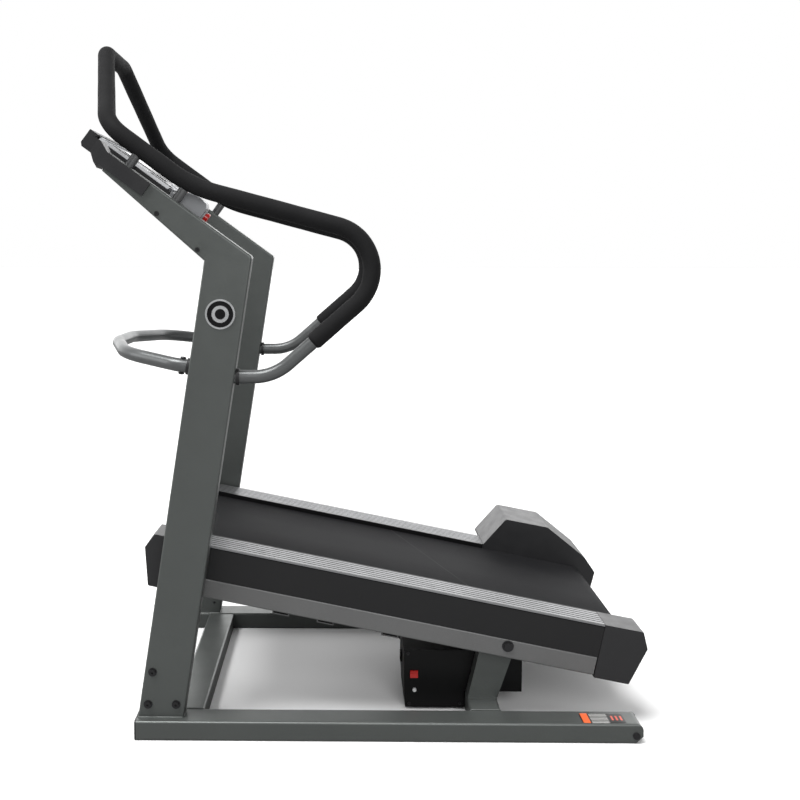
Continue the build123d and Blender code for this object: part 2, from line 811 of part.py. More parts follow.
# rocker keys: they tip about a line across their middle
rocker_pivot = console_top - 2.0
for name, y in rocker_places:
    with BuildPart() as rocker:
        spot = arm_point(key_s, rocker_pivot)
        with BuildSketch(Plane(origin=(spot[0], y - rocker_width / 2, spot[1]),
                               x_dir=(-arm_cos, 0, arm_sin), z_dir=(0, 1, 0))):
            with BuildLine():
                half = rocker_length / 2 - 0.4
                Polyline((half, -2), (half - 0.6, 11.5), (0, 9.2), (-half + 0.6, 11.5), (-half, -2))
                Polyline((-half, -2), (-6, -9), (6, -9), (half, -2))
            make_face()
        extrude(amount=rocker_width)
    save(rocker, name)

# side covers on the outer faces of the arms, with rounded front ends in front of the arm tips
cover_low = 302.0
cover_thickness = 8.0
cover_bottom = -38.0
cover_top = -1.0
nose_high = 488.0
with BuildPart() as console_side_covers:
    for side, word in SIDES:
        outer = mast_outer + cover_thickness
        start = mast_outer + 0.1 if side > 0 else -outer
        with BuildSketch(arm_plane(start)):
            with BuildLine():
                Polyline(
                    (cover_low, cover_bottom),
                    (cover_low, cover_top),
                    (arm_length + 4, cover_top),
                    (arm_length + 4, cover_bottom),
                    close=True,
                )
            make_face()
        extrude(amount=cover_thickness - 0.1)
        cap_start = console_half + 4 if side > 0 else -outer
        with BuildSketch(arm_plane(cap_start)):
            with BuildLine():
                Polyline(
                    (arm_length + 4, cover_bottom - 9),
                    (arm_length + 4, cover_top),
                    (nose_high - 30, 12),
                    (nose_high - 22, 11),
                    (nose_high - 24, -24),
                    (nose_high - 44, cover_bottom - 2),
                    close=True,
                )
            make_face()
        extrude(amount=outer - console_half - 4)
    fillet(console_side_covers.edges().filter_by(Axis.Y).group_by(Axis.Z)[-1], radius=3)
save(console_side_covers, "console_side_covers")

# emergency stop at the left of the pod's lower face
stop_head_gap = 7.5           # underside of the mushroom head above the pod

with BuildPart() as e_stop_collar:
    with BuildSketch(stop_plane(fit)):
        Circle(stop_ring)
        Circle(stop_radius + control_gap, mode=Mode.SUBTRACT)
    extrude(amount=4)
save(e_stop_collar, "e_stop_collar")

with BuildPart() as e_stop_button:
    with BuildSketch(stop_plane(stop_head_gap)):
        Circle(stop_radius + 2)
    extrude(amount=8)
    fillet(e_stop_button.faces().sort_by(Axis((0, 0, 0), stop_out))[-1].edges(), radius=3)
    with BuildSketch(stop_plane(stop_head_gap)):
        Circle(stop_radius)
    extrude(amount=-stop_head_gap - pod_wall)
save(e_stop_button, "e_stop_button")

# ---------------------------------------------------------------- pivot posts
post_gap = 6.0                # post to the inside of the side tube
post_thickness = 46.0
post_outer = tube_inner - post_gap
post_inner = post_outer - post_thickness
post_head = 31.0
post_foot = (rear_beam_front + 1.5, rear_beam_rear + 9.0)
flange = 6.0
with BuildPart() as pivot_posts:
    for side, word in SIDES:
        high = y_high(side, post_inner, post_outer)
        with BuildSketch(side_plane(high)):
            with BuildLine():
                Polyline(
                    (post_foot[0], rail_height + flange),
                    (rear_beam_rear - 1, rail_height + flange),
                    (pivot_x + post_head, pivot_height - 8),
                    (pivot_x - post_head * 2.0, pivot_height - 8),
                    close=True,
                )
            make_face()
            with Locations((pivot_x, pivot_height)):
                Circle(post_head)
        extrude(amount=post_thickness)
        with BuildSketch(side_plane(high)):
            with Locations((pivot_x, pivot_height)):
                Circle(pivot_pin_radius + running_clearance)
        extrude(amount=post_thickness, mode=Mode.SUBTRACT)
        middle = side * (post_inner + post_outer) / 2
        with BuildSketch(Plane.XY.offset(rail_height)):
            with Locations(((rear_beam_front + rear_beam_rear) / 2, middle)):
                Rectangle(beam_width - 4, post_thickness + 8)
        extrude(amount=flange)
save(pivot_posts, "pivot_posts")

# ---------------------------------------------------------------- control box on the base
box_front = rear_beam_front - 164.0
box_rear = rear_beam_rear + 72.0
box_near = -(post_inner - 6.0)
box_far = -45.0
box_top = 164.0
box_floor = 6.0
box_step = 3.0
box_wall = 2.5
panel_thickness = 3.0
box_points = (
    (box_front, 60.0),
    (box_front + 3, box_floor),
    (rear_beam_front - box_step, box_floor),
    (rear_beam_front - box_step, rail_height + 0.2),
    (box_rear, rail_height + 0.2),
    (box_rear, box_top),
    (box_front - 1, box_top),
)
switch_place = (box_front + 26.5, 98.0)
switch_size = 21.0
breaker_place = (box_front + 28.0, 54.5)
breaker_radius = 5.0
box_screw_radius = 2.0
box_screw_places = (
    (box_front + 10.0, box_top - 10.0),
    (box_rear - 10.0, box_top - 10.0),
    (rear_beam_front - 14.0, box_floor + 10.0),
    (box_front + 14.0, box_floor + 10.0),
)
with BuildPart() as control_box_shell:
    with BuildSketch(side_plane(box_far)):
        with BuildLine():
            Polyline(*box_points, close=True)
        make_face()
    extrude(amount=box_far - box_near - panel_thickness - 0.1)
    with BuildSketch(side_plane(box_far - box_wall)):
        with BuildLine():
            Polyline(*box_points, close=True)
        make_face()
        offset(amount=-box_wall, kind=Kind.INTERSECTION)
    extrude(amount=box_far - box_near, mode=Mode.SUBTRACT)
    # the mains inlet socket sits in the front wall
    with BuildSketch(Plane(origin=(box_front + 4, (box_near + box_far) / 2, 110.0), z_dir=(-1, 0, 0))):
        Rectangle(28, 22)
        Rectangle(24, 18, mode=Mode.SUBTRACT)
    extrude(amount=10)
save(control_box_shell, "control_box_shell")

with BuildPart() as control_box_panel:
    with BuildSketch(side_plane(box_near + panel_thickness)):
        with BuildLine():
            Polyline(*box_points, close=True)
        make_face()
        with Locations(switch_place):
            Rectangle(switch_size + 2 * control_gap, switch_size + 2 * control_gap, mode=Mode.SUBTRACT)
        with Locations(breaker_place):
            Circle(breaker_radius + control_gap, mode=Mode.SUBTRACT)
        with Locations(*box_screw_places):
            Circle(box_screw_radius + screw_gap, mode=Mode.SUBTRACT)
    extrude(amount=panel_thickness)
save(control_box_panel, "control_box_panel")

box_screw = screw(4.2, 2.4, 4.6, 0.6, box_screw_radius, panel_thickness + 1, 1.6)
arm_screw = screw(5.0, 3.0, 6.0, 1.0, 2.5, 7.0, 2.0)
with BuildPart() as housing_screws:
    for place in box_screw_places:
        with Locations(side_seat(place, box_near, -1)):
            add(box_screw)
    for side, word in SIDES:
        for place in arm_screw_places:
            with Locations(side_seat(place, side * mast_outer, side)):
                add(arm_screw)
save(housing_screws, "housing_screws")

with BuildPart() as power_switch:
    half = switch_size / 2 - 0.4
    with BuildSketch(Plane(origin=(switch_place[0] - switch_size / 2, box_near + 4, switch_place[1]),
                           x_dir=(0, -1, 0), z_dir=(1, 0, 0))):
        with BuildLine():
            Polyline(
                (-6, -half + 4), (4.6, -half), (9.2, -half + 0.6), (6.8, 0), (9.2, half - 0.6), (4.6, half),
                (-6, half - 4), close=True,
            )
        make_face()
    extrude(amount=switch_size)
save(power_switch, "power_switch")

with BuildPart() as breaker_button:
    seat = Plane(
        origin=(breaker_place[0], box_near + panel_thickness + 6, breaker_place[1]), z_dir=(0, -1, 0)
    )
    with BuildSketch(seat):
        Circle(breaker_radius)
    extrude(amount=panel_thickness + 6 + 5)
    with BuildSketch(seat):
        Circle(breaker_radius + 2.5)
    extrude(amount=2.5)
save(breaker_button, "breaker_button")

# ---------------------------------------------------------------- incline lift
lift_low = (rear_beam_front - 85.0, 55.0)
lift_top_u = -425.7
lift_top_v = -27.7
rest = radians(deck_rest_incline)
lift_top = (
    pivot_x + lift_top_u * cos(rest) + lift_top_v * sin(rest),
    pivot_height - lift_top_u * sin(rest) + lift_top_v * cos(rest),
)
lift_rise = lift_top[1] - lift_low[1]
lift_back = lift_top[0] - lift_low[0]
lift_span = hypot(lift_rise, lift_back)
lift_pin_radius = 6.0
ear_gap = 1.0
eye_half = 16.0
ear_thickness = 6.0
clevis_plate = 6.0
lift_x_dir = (lift_back / lift_span, 0, lift_rise / lift_span)
lift_normal = (-lift_rise / lift_span, 0, lift_back / lift_span)


def lift_plane(y):
    """Plane along the lift: sketch x runs from the lower pin to the upper one; extrudes along Y."""
    return Plane(origin=(lift_low[0], y, lift_low[1]), x_dir=lift_x_dir, z_dir=(0, 1, 0))


def lift_section(distance, y=0.0, across=0.0):
    """Plane square to the lift's axis, this far from the lower pin."""
    x = lift_low[0] + distance * lift_x_dir[0] + across * lift_normal[0]
    z = lift_low[1] + distance * lift_x_dir[2] + across * lift_normal[2]
    return Plane(origin=(x, y, z), x_dir=(0, 1, 0), z_dir=lift_x_dir)


pin_half = eye_half + ear_gap + ear_thickness + 4
with BuildPart() as lift_clevis:
    with BuildSketch(Plane.YZ.offset(rear_beam_front - clevis_plate - 0.05)):
        with Locations((0, rail_height / 2 + 10)):
            Rectangle(2 * (eye_half + ear_gap + ear_thickness) + 24, rail_height + 8)
    extrude(amount=clevis_plate)
    for side, word in SIDES:
        high = y_high(side, eye_half + ear_gap, eye_half + ear_gap + ear_thickness)
        with BuildSketch(side_plane(high)):
            with BuildLine():
                Polyline(
                    (rear_beam_front - clevis_plate, 14),
                    (rear_beam_front - clevis_plate, 60),
                    (lift_low[0], lift_low[1] + 14),
                    (lift_low[0], lift_low[1] - 14),
                    close=True,
                )
            make_face()
            with Locations(lift_low):
                Circle(14)
                Circle(lift_pin_radius + 0.02, mode=Mode.SUBTRACT)
        extrude(amount=ear_thickness)
    with BuildSketch(side_plane(pin_half)):
        with Locations(lift_low):
            Circle(lift_pin_radius)
    extrude(amount=2 * pin_half)
save(lift_clevis, "lift_clevis")

lift_tube_radius = 17.0
lift_tube_bore = 11.3
lift_tube_end = 246.0
lift_rod_radius = 11.0
can_offset = 48.0
can_radius = 24.0
can_length = 98.0
gear_depth = 46.0
gear_low = 34.0
gear_length = 46.0
with BuildPart() as lift_motor:
    with BuildSketch(lift_plane(-eye_half)):
        Circle(15)
        with Locations((20, 0)):
            Rectangle(40, 26)
        Circle(lift_pin_radius + running_clearance, mode=Mode.SUBTRACT)
    extrude(amount=2 * eye_half)
    with BuildSketch(lift_section(gear_low, can_offset / 2)):
        RectangleRounded(can_offset + 62, gear_depth, 12)
    extrude(amount=gear_length)
    with BuildSketch(lift_section(gear_low + gear_length)):
        Circle(lift_tube_radius)
    extrude(amount=lift_tube_end - gear_low - gear_length)
    with BuildSketch(lift_section(gear_low + gear_length, can_offset)):
        Circle(can_radius)
    extrude(amount=can_length)
    fillet(lift_motor.edges().filter_by(GeomType.CIRCLE).sort_by_distance(
        lift_section(gear_low + gear_length + can_length, can_offset).origin)[0], radius=5)
    with BuildSketch(lift_section(gear_low + 24)):
        Circle(lift_tube_bore)
    extrude(amount=lift_tube_end, mode=Mode.SUBTRACT)
save(lift_motor, "lift_motor")

rod_length = 205.0
open_pivot_gap = 6.2          # the lift's top eye is this much larger than its pin, all round
lift_eye = lift_pin_radius + open_pivot_gap + 6.0
with BuildPart() as lift_rod:
    with BuildSketch(lift_section(lift_span - rod_length)):
        Circle(lift_rod_radius)
    extrude(amount=rod_length - lift_eye)
    with BuildSketch(lift_plane(-eye_half)):
        with Locations((lift_span, 0)):
            Circle(lift_eye)
        with Locations((lift_span - 14, 0)):
            Rectangle(28, 22)
        with Locations((lift_span, 0)):
            Circle(lift_pin_radius + open_pivot_gap, mode=Mode.SUBTRACT)
    extrude(amount=2 * eye_half)
save(lift_rod, "lift_rod")

# ---------------------------------------------------------------- deck frame
deck_tube_front = front_roller_u + 30.0
deck_tube_rear = rear_roller_reach - 40.0
deck_tube_wall = 3.0
axle_radius = 10.0
axle_plate = 6.0
axle_plate_half = 22.0
pivot_head_radius = 15.0
pivot_head = 5.0


for side, word in SIDES:
    with BuildPart() as deck_tube:
        high = y_high(side, tube_inner, deck_half)
        tube_mid_u = (deck_tube_front + deck_tube_rear) / 2
        tube_mid_v = tube_top - deck_tube_height / 2
        with BuildSketch(deck_plane(high)):
            with Locations((tube_mid_u, tube_mid_v)):
                Rectangle(deck_tube_rear - deck_tube_front, deck_tube_height)
        extrude(amount=deck_tube_width)
        fillet(deck_tube.edges().filter_by(Axis((0, 0, 0), tuple(deck_plane(0).x_dir))), radius=4)
        with BuildSketch(deck_plane(high - deck_tube_wall)):
            with Locations((tube_mid_u, tube_mid_v)):
                Rectangle(deck_tube_rear - deck_tube_front + 2, deck_tube_height - 2 * deck_tube_wall)
        extrude(amount=deck_tube_width - 2 * deck_tube_wall, mode=Mode.SUBTRACT)
        # plates carry the roller axles
        plate_high = y_high(side, tube_inner, tube_inner + axle_plate)
        for roller_u, edge_u, way in (
            (front_roller_u, deck_tube_front, 1),
            (rear_roller_reach, deck_tube_rear, -1),
        ):
            with BuildSketch(deck_plane(plate_high)):
                with BuildLine():
                    Polyline(
                        (roller_u - way * axle_plate_half, roller_level + axle_plate_half),
                        (roller_u - way * axle_plate_half, roller_level - axle_plate_half),
                        (edge_u, tube_top - deck_tube_height + 8),
                        (edge_u + way * 60, tube_top - deck_tube_height + 8),
                        (edge_u + way * 60, tube_top - 5),
                        (roller_u + way * axle_plate_half, roller_level + axle_plate_half),
                        close=True,
                    )
                make_face()
                with Locations((roller_u, roller_level)):
                    Circle(axle_radius + 0.02, mode=Mode.SUBTRACT)
            extrude(amount=axle_plate)
        with BuildSketch(deck_plane(high + 1)):
            Circle(pivot_pin_radius + 0.02)
        extrude(amount=deck_tube_width + 2, mode=Mode.SUBTRACT)
    save(deck_tube, f"deck_tube_{word}")

with BuildPart() as pivot_bolts:
    for side, word in SIDES:
        with BuildSketch(Plane(origin=(pivot_x, side * deck_half, pivot_height), z_dir=(0, side, 0))):
            Circle(pivot_head_radius)
        extrude(amount=2.5)
        with BuildSketch(
            Plane(origin=(pivot_x, side * (deck_half + 2.5), pivot_height), z_dir=(0, side, 0))
        ):
            RegularPolygon(pivot_head_radius - 4, 6)
        extrude(amount=pivot_head)
        with BuildSketch(Plane(origin=(pivot_x, side * deck_half, pivot_height), z_dir=(0, -side, 0))):
            Circle(pivot_pin_radius)
        extrude(amount=deck_half - post_inner + 4)
save(pivot_bolts, "pivot_bolts")

cross_height = 46.0
cross_width = 45.0
cross_top = -6.0
cross_places = (front_roller_u + 56.0, -592.0, -472.5, -300.0)
rear_cross_place = 150.0
rear_cross_height = 26.0      # shallower, so that it hides between the side tubes
with BuildPart() as deck_cross_tubes:
    for u in cross_places:
        with BuildSketch(deck_plane(tube_inner)):
            with Locations((u, cross_top - cross_height / 2)):
                Rectangle(cross_width, cross_height)
                Rectangle(cross_width - 2 * deck_tube_wall, cross_height - 2 * deck_tube_wall,
                          mode=Mode.SUBTRACT)
        extrude(amount=2 * tube_inner)
    with BuildSketch(deck_plane(tube_inner)):
        with Locations((rear_cross_place, rear_cross_height / 2 - deck_tube_drop)):
            Rectangle(cross_width, rear_cross_height)
            Rectangle(cross_width - 2 * deck_tube_wall, rear_cross_height - 2 * deck_tube_wall,
                      mode=Mode.SUBTRACT)
    extrude(amount=2 * tube_inner)
save(deck_cross_tubes, "deck_cross_tubes")

# bracket and pin that the lift pushes on, welded to the middle cross tube
lift_beam_rear = cross_places[2] + cross_width / 2
with BuildPart() as lift_deck_bracket:
    for side, word in SIDES:
        high = y_high(side, eye_half + ear_gap, eye_half + ear_gap + ear_thickness)
        with BuildSketch(deck_plane(high)):
            with BuildLine():
                Polyline(
                    (lift_beam_rear + 0.05, cross_top - 2),
                    (lift_beam_rear + 0.05, cross_top - cross_height + 2),
                    (lift_top_u, lift_top_v - 14),
                    (lift_top_u, lift_top_v + 14),
                    close=True,
                )
            make_face()
            with Locations((lift_top_u, lift_top_v)):
                Circle(14)
                Circle(lift_pin_radius + 0.02, mode=Mode.SUBTRACT)
        extrude(amount=ear_thickness)
    with BuildSketch(deck_plane(pin_half)):
        with Locations((lift_top_u, lift_top_v)):
            Circle(lift_pin_radius)
    extrude(amount=2 * pin_half)
save(lift_deck_bracket, "lift_deck_bracket")

# ---------------------------------------------------------------- running board and cushions
board_front = front_roller_u + roller_radius + 14.0
board_rear = rear_roller_reach - roller_radius - 14.0
board_half = deck_half - 8.0
notch_front = 60.0            # the board is cut back on the right for the motor and its belt
notch_inner = belt_half + 6.0
with BuildPart() as deck_board:
    with BuildSketch(deck_plane(board_half)):
        with Locations(((board_front + board_rear) / 2, (board_top + board_bottom) / 2)):
            Rectangle(board_rear - board_front, board_thickness)
    extrude(amount=2 * board_half)
    with BuildSketch(deck_plane(board_half + 1)):
        with Locations(((notch_front + board_rear) / 2 + 1, (board_top + board_bottom) / 2)):
            Rectangle(board_rear - notch_front + 2, board_thickness + 2)
    extrude(amount=board_half + 1 - notch_inner, mode=Mode.SUBTRACT)
save(deck_board, "deck_board")

cushion_length = 60.0
cushion_width = 24.0
cushion_places = (-760.0, -480.0, -200.0, 20.0)
cushion_y = (tube_inner + board_half) / 2
with BuildPart() as deck_cushions:
    for side, word in SIDES:
        for u in cushion_places:
            with BuildSketch(deck_plane(side * cushion_y + cushion_width / 2)):
                with Locations((u, (tube_top + board_bottom) / 2)):
                    Rectangle(cushion_length, board_bottom - tube_top - 0.2)
            extrude(amount=cushion_width)
save(deck_cushions, "deck_cushions")

# ---------------------------------------------------------------- running belt
with BuildPart() as running_belt:
    span = rear_roller_reach - front_roller_u
    middle = (rear_roller_reach + front_roller_u) / 2
    with BuildSketch(deck_plane(belt_half)):
        with Locations((middle, roller_level)):
            SlotCenterToCenter(span, 2 * belt_outer_radius)
            SlotCenterToCenter(span, 2 * (belt_outer_radius - belt_thickness), mode=Mode.SUBTRACT)
    extrude(amount=2 * belt_half)
save(running_belt, "running_belt")

# ---------------------------------------------------------------- rollers, axles, bearings
roller_tube_wall = 4.0
bearing_width = 14.0
pulley_radius = 38.0
pulley_width = 18.0
pulley_start = foot_rail_inner + 22.0
hub_radius = 20.0
roller_half = belt_half
roller_end = belt_gap - 1.0    # closing disc that joins the drum to its hub
axle_half = tube_inner + axle_plate + 6.0

for name, roller_u in (("front_roller", front_roller_u), ("rear_roller", rear_roller_reach)):
    with BuildPart() as roller:
        with BuildSketch(deck_plane(roller_half)):
            with Locations((roller_u, roller_level)):
                Circle(roller_radius)
                Circle(roller_radius - roller_tube_wall, mode=Mode.SUBTRACT)
        extrude(amount=2 * roller_half)
        if name == "rear_roller":
            with BuildSketch(deck_plane(roller_half + roller_end)):
                with Locations((roller_u, roller_level)):
                    Circle(roller_radius)
                    Circle(axle_radius + running_clearance, mode=Mode.SUBTRACT)
            extrude(amount=roller_end)
            with BuildSketch(deck_plane(pulley_start + pulley_width)):
                with Locations((roller_u, roller_level)):
                    Circle(hub_radius)
                    Circle(axle_radius + running_clearance, mode=Mode.SUBTRACT)
            extrude(amount=pulley_start + pulley_width - roller_half - roller_end)
            with BuildSketch(deck_plane(pulley_start + pulley_width)):
                with Locations((roller_u, roller_level)):
                    Circle(pulley_radius)
                    Circle(axle_radius + running_clearance, mode=Mode.SUBTRACT)
            extrude(amount=pulley_width)
    save(roller, name)

with BuildPart() as axles_and_bearings:
    for roller_u in (front_roller_u, rear_roller_reach):
        with BuildSketch(deck_plane(axle_half)):
            with Locations((roller_u, roller_level)):
                Circle(axle_radius)
        extrude(amount=2 * axle_half)
    for roller_u in (front_roller_u, rear_roller_reach):
        for side, word in SIDES:
            with BuildSketch(deck_plane(y_high(side, roller_half - bearing_width - 1, roller_half - 1))):
                with Locations((roller_u, roller_level)):
                    Circle(roller_radius - roller_tube_wall - running_clearance)
                    Circle(axle_radius + 0.1, mode=Mode.SUBTRACT)
            extrude(amount=bearing_width)
save(axles_and_bearings, "axles_and_bearings")

# ---------------------------------------------------------------- drive motor and its belt
motor_u = 150.0
motor_v = 146.0
motor_radius = 42.0
motor_start = pulley_start + pulley_width + 6.0
motor_end = rail_outer - 12.0
motor_shaft_radius = 7.0
small_pulley_radius = 18.0
drive_belt_thickness = 3.0
drive_belt_gap = 0.4
drive_belt_inset = 2.0

with BuildPart() as drive_motor:
    with BuildSketch(deck_plane(motor_end)):
        with Locations((motor_u, motor_v)):
            Circle(motor_radius)
    extrude(amount=motor_end - motor_start)
    chamfer(drive_motor.edges().filter_by(GeomType.CIRCLE), length=5)
    with BuildSketch(deck_plane(deck_half - 3)):
        with Locations((motor_u, (tube_top + 0.1 + motor_v - 30) / 2)):
            Rectangle(80, motor_v - 30 - tube_top - 0.1)
    extrude(amount=deck_tube_width - 10)
    with BuildSketch(deck_plane(motor_start + 70)):
        with Locations((motor_u, motor_v)):
            Circle(motor_shaft_radius + running_clearance)
    extrude(amount=71, mode=Mode.SUBTRACT)
save(drive_motor, "drive_motor")

with BuildPart() as motor_pulley:
    with BuildSketch(deck_plane(motor_start + 60)):
        with Locations((motor_u, motor_v)):
            Circle(motor_shaft_radius)
    extrude(amount=motor_start + 60 - pulley_start)
    with BuildSketch(deck_plane(pulley_start + pulley_width)):
        with Locations((motor_u, motor_v)):
            Circle(small_pulley_radius)
    extrude(amount=pulley_width)
save(motor_pulley, "motor_pulley")

with BuildPart() as drive_belt:
    gap = drive_belt_gap
    ends = ((rear_roller_reach, roller_level, pulley_radius), (motor_u, motor_v, small_pulley_radius))
    for grow, mode in ((gap + drive_belt_thickness, Mode.ADD), (gap, Mode.SUBTRACT)):
        with BuildSketch(deck_plane(pulley_start + pulley_width - drive_belt_inset)):
            with BuildLine():
                run_u = motor_u - rear_roller_reach
                run_v = motor_v - roller_level
                length = hypot(run_u, run_v)
                heading = atan2(run_v, run_u)
                big = pulley_radius + grow
                small = small_pulley_radius + grow
                lean = (big - small) / length
                side_angle = atan2((1 - lean ** 2) ** 0.5, lean)
                touches = []
                for way in (1, -1):
                    angle = heading + way * side_angle
                    big_touch = (rear_roller_reach + big * cos(angle), roller_level + big * sin(angle))
                    small_touch = (motor_u + small * cos(angle), motor_v + small * sin(angle))
                    touches.append((big_touch, small_touch))
                back = (rear_roller_reach - big * cos(heading), roller_level - big * sin(heading))
                nose = (motor_u + small * cos(heading), motor_v + small * sin(heading))
                Line(touches[0][0], touches[0][1])
                ThreePointArc(touches[0][1], nose, touches[1][1])
                Line(touches[1][1], touches[1][0])
                ThreePointArc(touches[1][0], back, touches[0][0])
            make_face()
        extrude(amount=pulley_width - 2 * drive_belt_inset, mode=mode)
save(drive_belt, "drive_belt")

# ---------------------------------------------------------------- side covers and foot rails
cover_wall = 3.0
cover_rail_top = 97.7
cap_joint_front = front_roller_u + 26.0
cap_joint_rear = 235.0
hood_front = -10.0
cap_gap = 1.2
with BuildPart() as deck_side_covers:
    for side, word in SIDES:
        rear = cap_joint_rear - cap_gap
        front = cap_joint_front + cap_gap
        with BuildSketch(deck_plane(y_high(side, deck_half - cover_wall, deck_half))):
            with Locations(((front + rear) / 2, (tube_top + 0.2 + cover_rail_top) / 2)):
                Rectangle(rear - front, cover_rail_top - tube_top - 0.2)
        extrude(amount=cover_wall)
save(deck_side_covers, "deck_side_covers")

rail_plate = 4.0
groove_count = 5
groove_width = 4.0
groove_depth = 1.6
lip = 3.0
rail_side = foot_rail_top - cover_rail_top - fit
for side, word in SIDES:
    with BuildPart() as foot_rail:
        rear = cap_joint_rear - cap_gap if side < 0 else hood_front - cap_gap
        front = cap_joint_front + cap_gap
        inner = foot_rail_inner
        pitch = (foot_rail_width - 2 * lip) / (groove_count + 1)
        low = board_top + 0.1
        with BuildSketch(Plane(origin=deck_plane(0).from_local_coords((front, 0, 0)), x_dir=(0, side, 0),
                               z_dir=(cos(rest), 0, -sin(rest)))):
            flip = 1 if side > 0 else -1
            with BuildLine():
                Polyline(
                    (inner, low * flip),
                    (inner, foot_rail_top * flip),
                    (deck_half, foot_rail_top * flip),
                    (deck_half, (foot_rail_top - rail_side) * flip),
                    (deck_half - lip, (foot_rail_top - rail_side) * flip),
                    (deck_half - lip, (foot_rail_top - rail_plate) * flip),
                    (inner + lip, (foot_rail_top - rail_plate) * flip),
                    (inner + lip, low * flip),
                    close=True,
                )
            make_face()
            for i in range(groove_count):
                with Locations((inner + lip + (i + 1) * pitch, (foot_rail_top - groove_depth / 2) * flip)):
                    Rectangle(groove_width, groove_depth + 0.01, mode=Mode.SUBTRACT)
            for share in (0.33, 0.75):
                leg = inner + share * foot_rail_width
                with Locations((leg, (low + foot_rail_top - rail_plate) / 2 * flip)):
                    Rectangle(lip, foot_rail_top - rail_plate - low)
        extrude(amount=rear - front)
    save(foot_rail, f"foot_rail_{word}")

# ---------------------------------------------------------------- end caps and motor hood
cap_wall = 3.0
cap_low = -37.0
cap_round = 4.0
front_cap_points = (
    (cap_joint_front, cap_low + 6),
    (front_roller_u - 57, cap_low + 7),
    (front_roller_u - 83, 68.0),
    (front_roller_u - 64, foot_rail_top + 1),
    (cap_joint_front, foot_rail_top + 1),
)
rear_cap_points = (
    (cap_joint_rear, cap_low),
    (rear_roller_reach + 55, cap_low),
    (rear_roller_reach + 83, 64.0),
    (rear_roller_reach + 63, foot_rail_top + 1),
    (cap_joint_rear, foot_rail_top),
)


def end_cap(side, points, joint_u, roller_u):
    """One hollow end cap, open towards the foot rail, with a hole for the roller's axle."""
    way = 1 if roller_u > 0 else -1
    with BuildPart() as cap:
        high = y_high(side, foot_rail_inner, deck_half)
        with BuildSketch(deck_plane(high)) as face:
            add(outline(points))
            tips = [v for v in face.vertices() if abs(v.X - joint_u) > 1]
            fillet(tips, radius=cap_round)
        extrude(amount=foot_rail_width)
        with BuildSketch(deck_plane(high - cap_wall)):
            add(outline(points))
            offset(amount=-cap_wall, kind=Kind.INTERSECTION)
            with Locations((joint_u, (foot_rail_top + cap_low) / 2 + 2)):
                Rectangle(3 * cap_wall, foot_rail_top - cap_low - 14)
        extrude(amount=foot_rail_width - 2 * cap_wall, mode=Mode.SUBTRACT)
        with BuildSketch(Plane(origin=deck_plane(side * (foot_rail_inner - 1)).from_local_coords(
                (roller_u, roller_level, 0)), z_dir=(0, side, 0))):
            Circle(axle_radius + 2)
        extrude(amount=cap_wall + 2, mode=Mode.SUBTRACT)
    return cap.part


with BuildPart() as front_caps:
    for side, word in SIDES:
        add(end_cap(side, front_cap_points, cap_joint_front, front_roller_u))
save(front_caps, "front_caps")

with BuildPart() as rear_cap:
    add(end_cap(-1, rear_cap_points, cap_joint_rear, rear_roller_reach))
save(rear_cap, "rear_cap")

hood_wall = 3.0
hood_outer = rail_outer
hood_skirt = cover_rail_top + 0.5
hood_joint = cap_joint_rear + cap_gap
hood_peak_front = hood_front + 53.0
hood_peak_rear = hood_front + 186.0
hood_high = 198.0
hood_shape = (
    (hood_front, hood_skirt),
    (hood_front, foot_rail_top),
    (hood_peak_front, hood_high - 1),
    (hood_peak_rear, hood_high),
    (rear_roller_reach + 36, 129.0),
    (rear_roller_reach + 78, 88.0),
    (rear_roller_reach + 77, 60.0),
    (hood_joint, 60.0),
    (hood_joint, hood_skirt),
)
hood_tail = (
    (hood_joint, 70.0),
    (rear_roller_reach + 77, 70.0),
    (rear_roller_reach + 76, 43.0),
    (rear_roller_reach + 55, cap_low),
    (hood_joint, cap_low),
)
hood_inside = (
    (hood_front, 60.0),
    (hood_front, foot_rail_top),
    (hood_peak_front, hood_high - 1),
    (hood_peak_rear, hood_high),
    (rear_roller_reach + 36, 129.0),
    (rear_roller_reach + 78, 88.0),
    (rear_roller_reach + 76, 43.0),
    (rear_roller_reach + 55, cap_low),
    (hood_joint - 12, cap_low),
    (hood_joint - 12, 60.0),
)
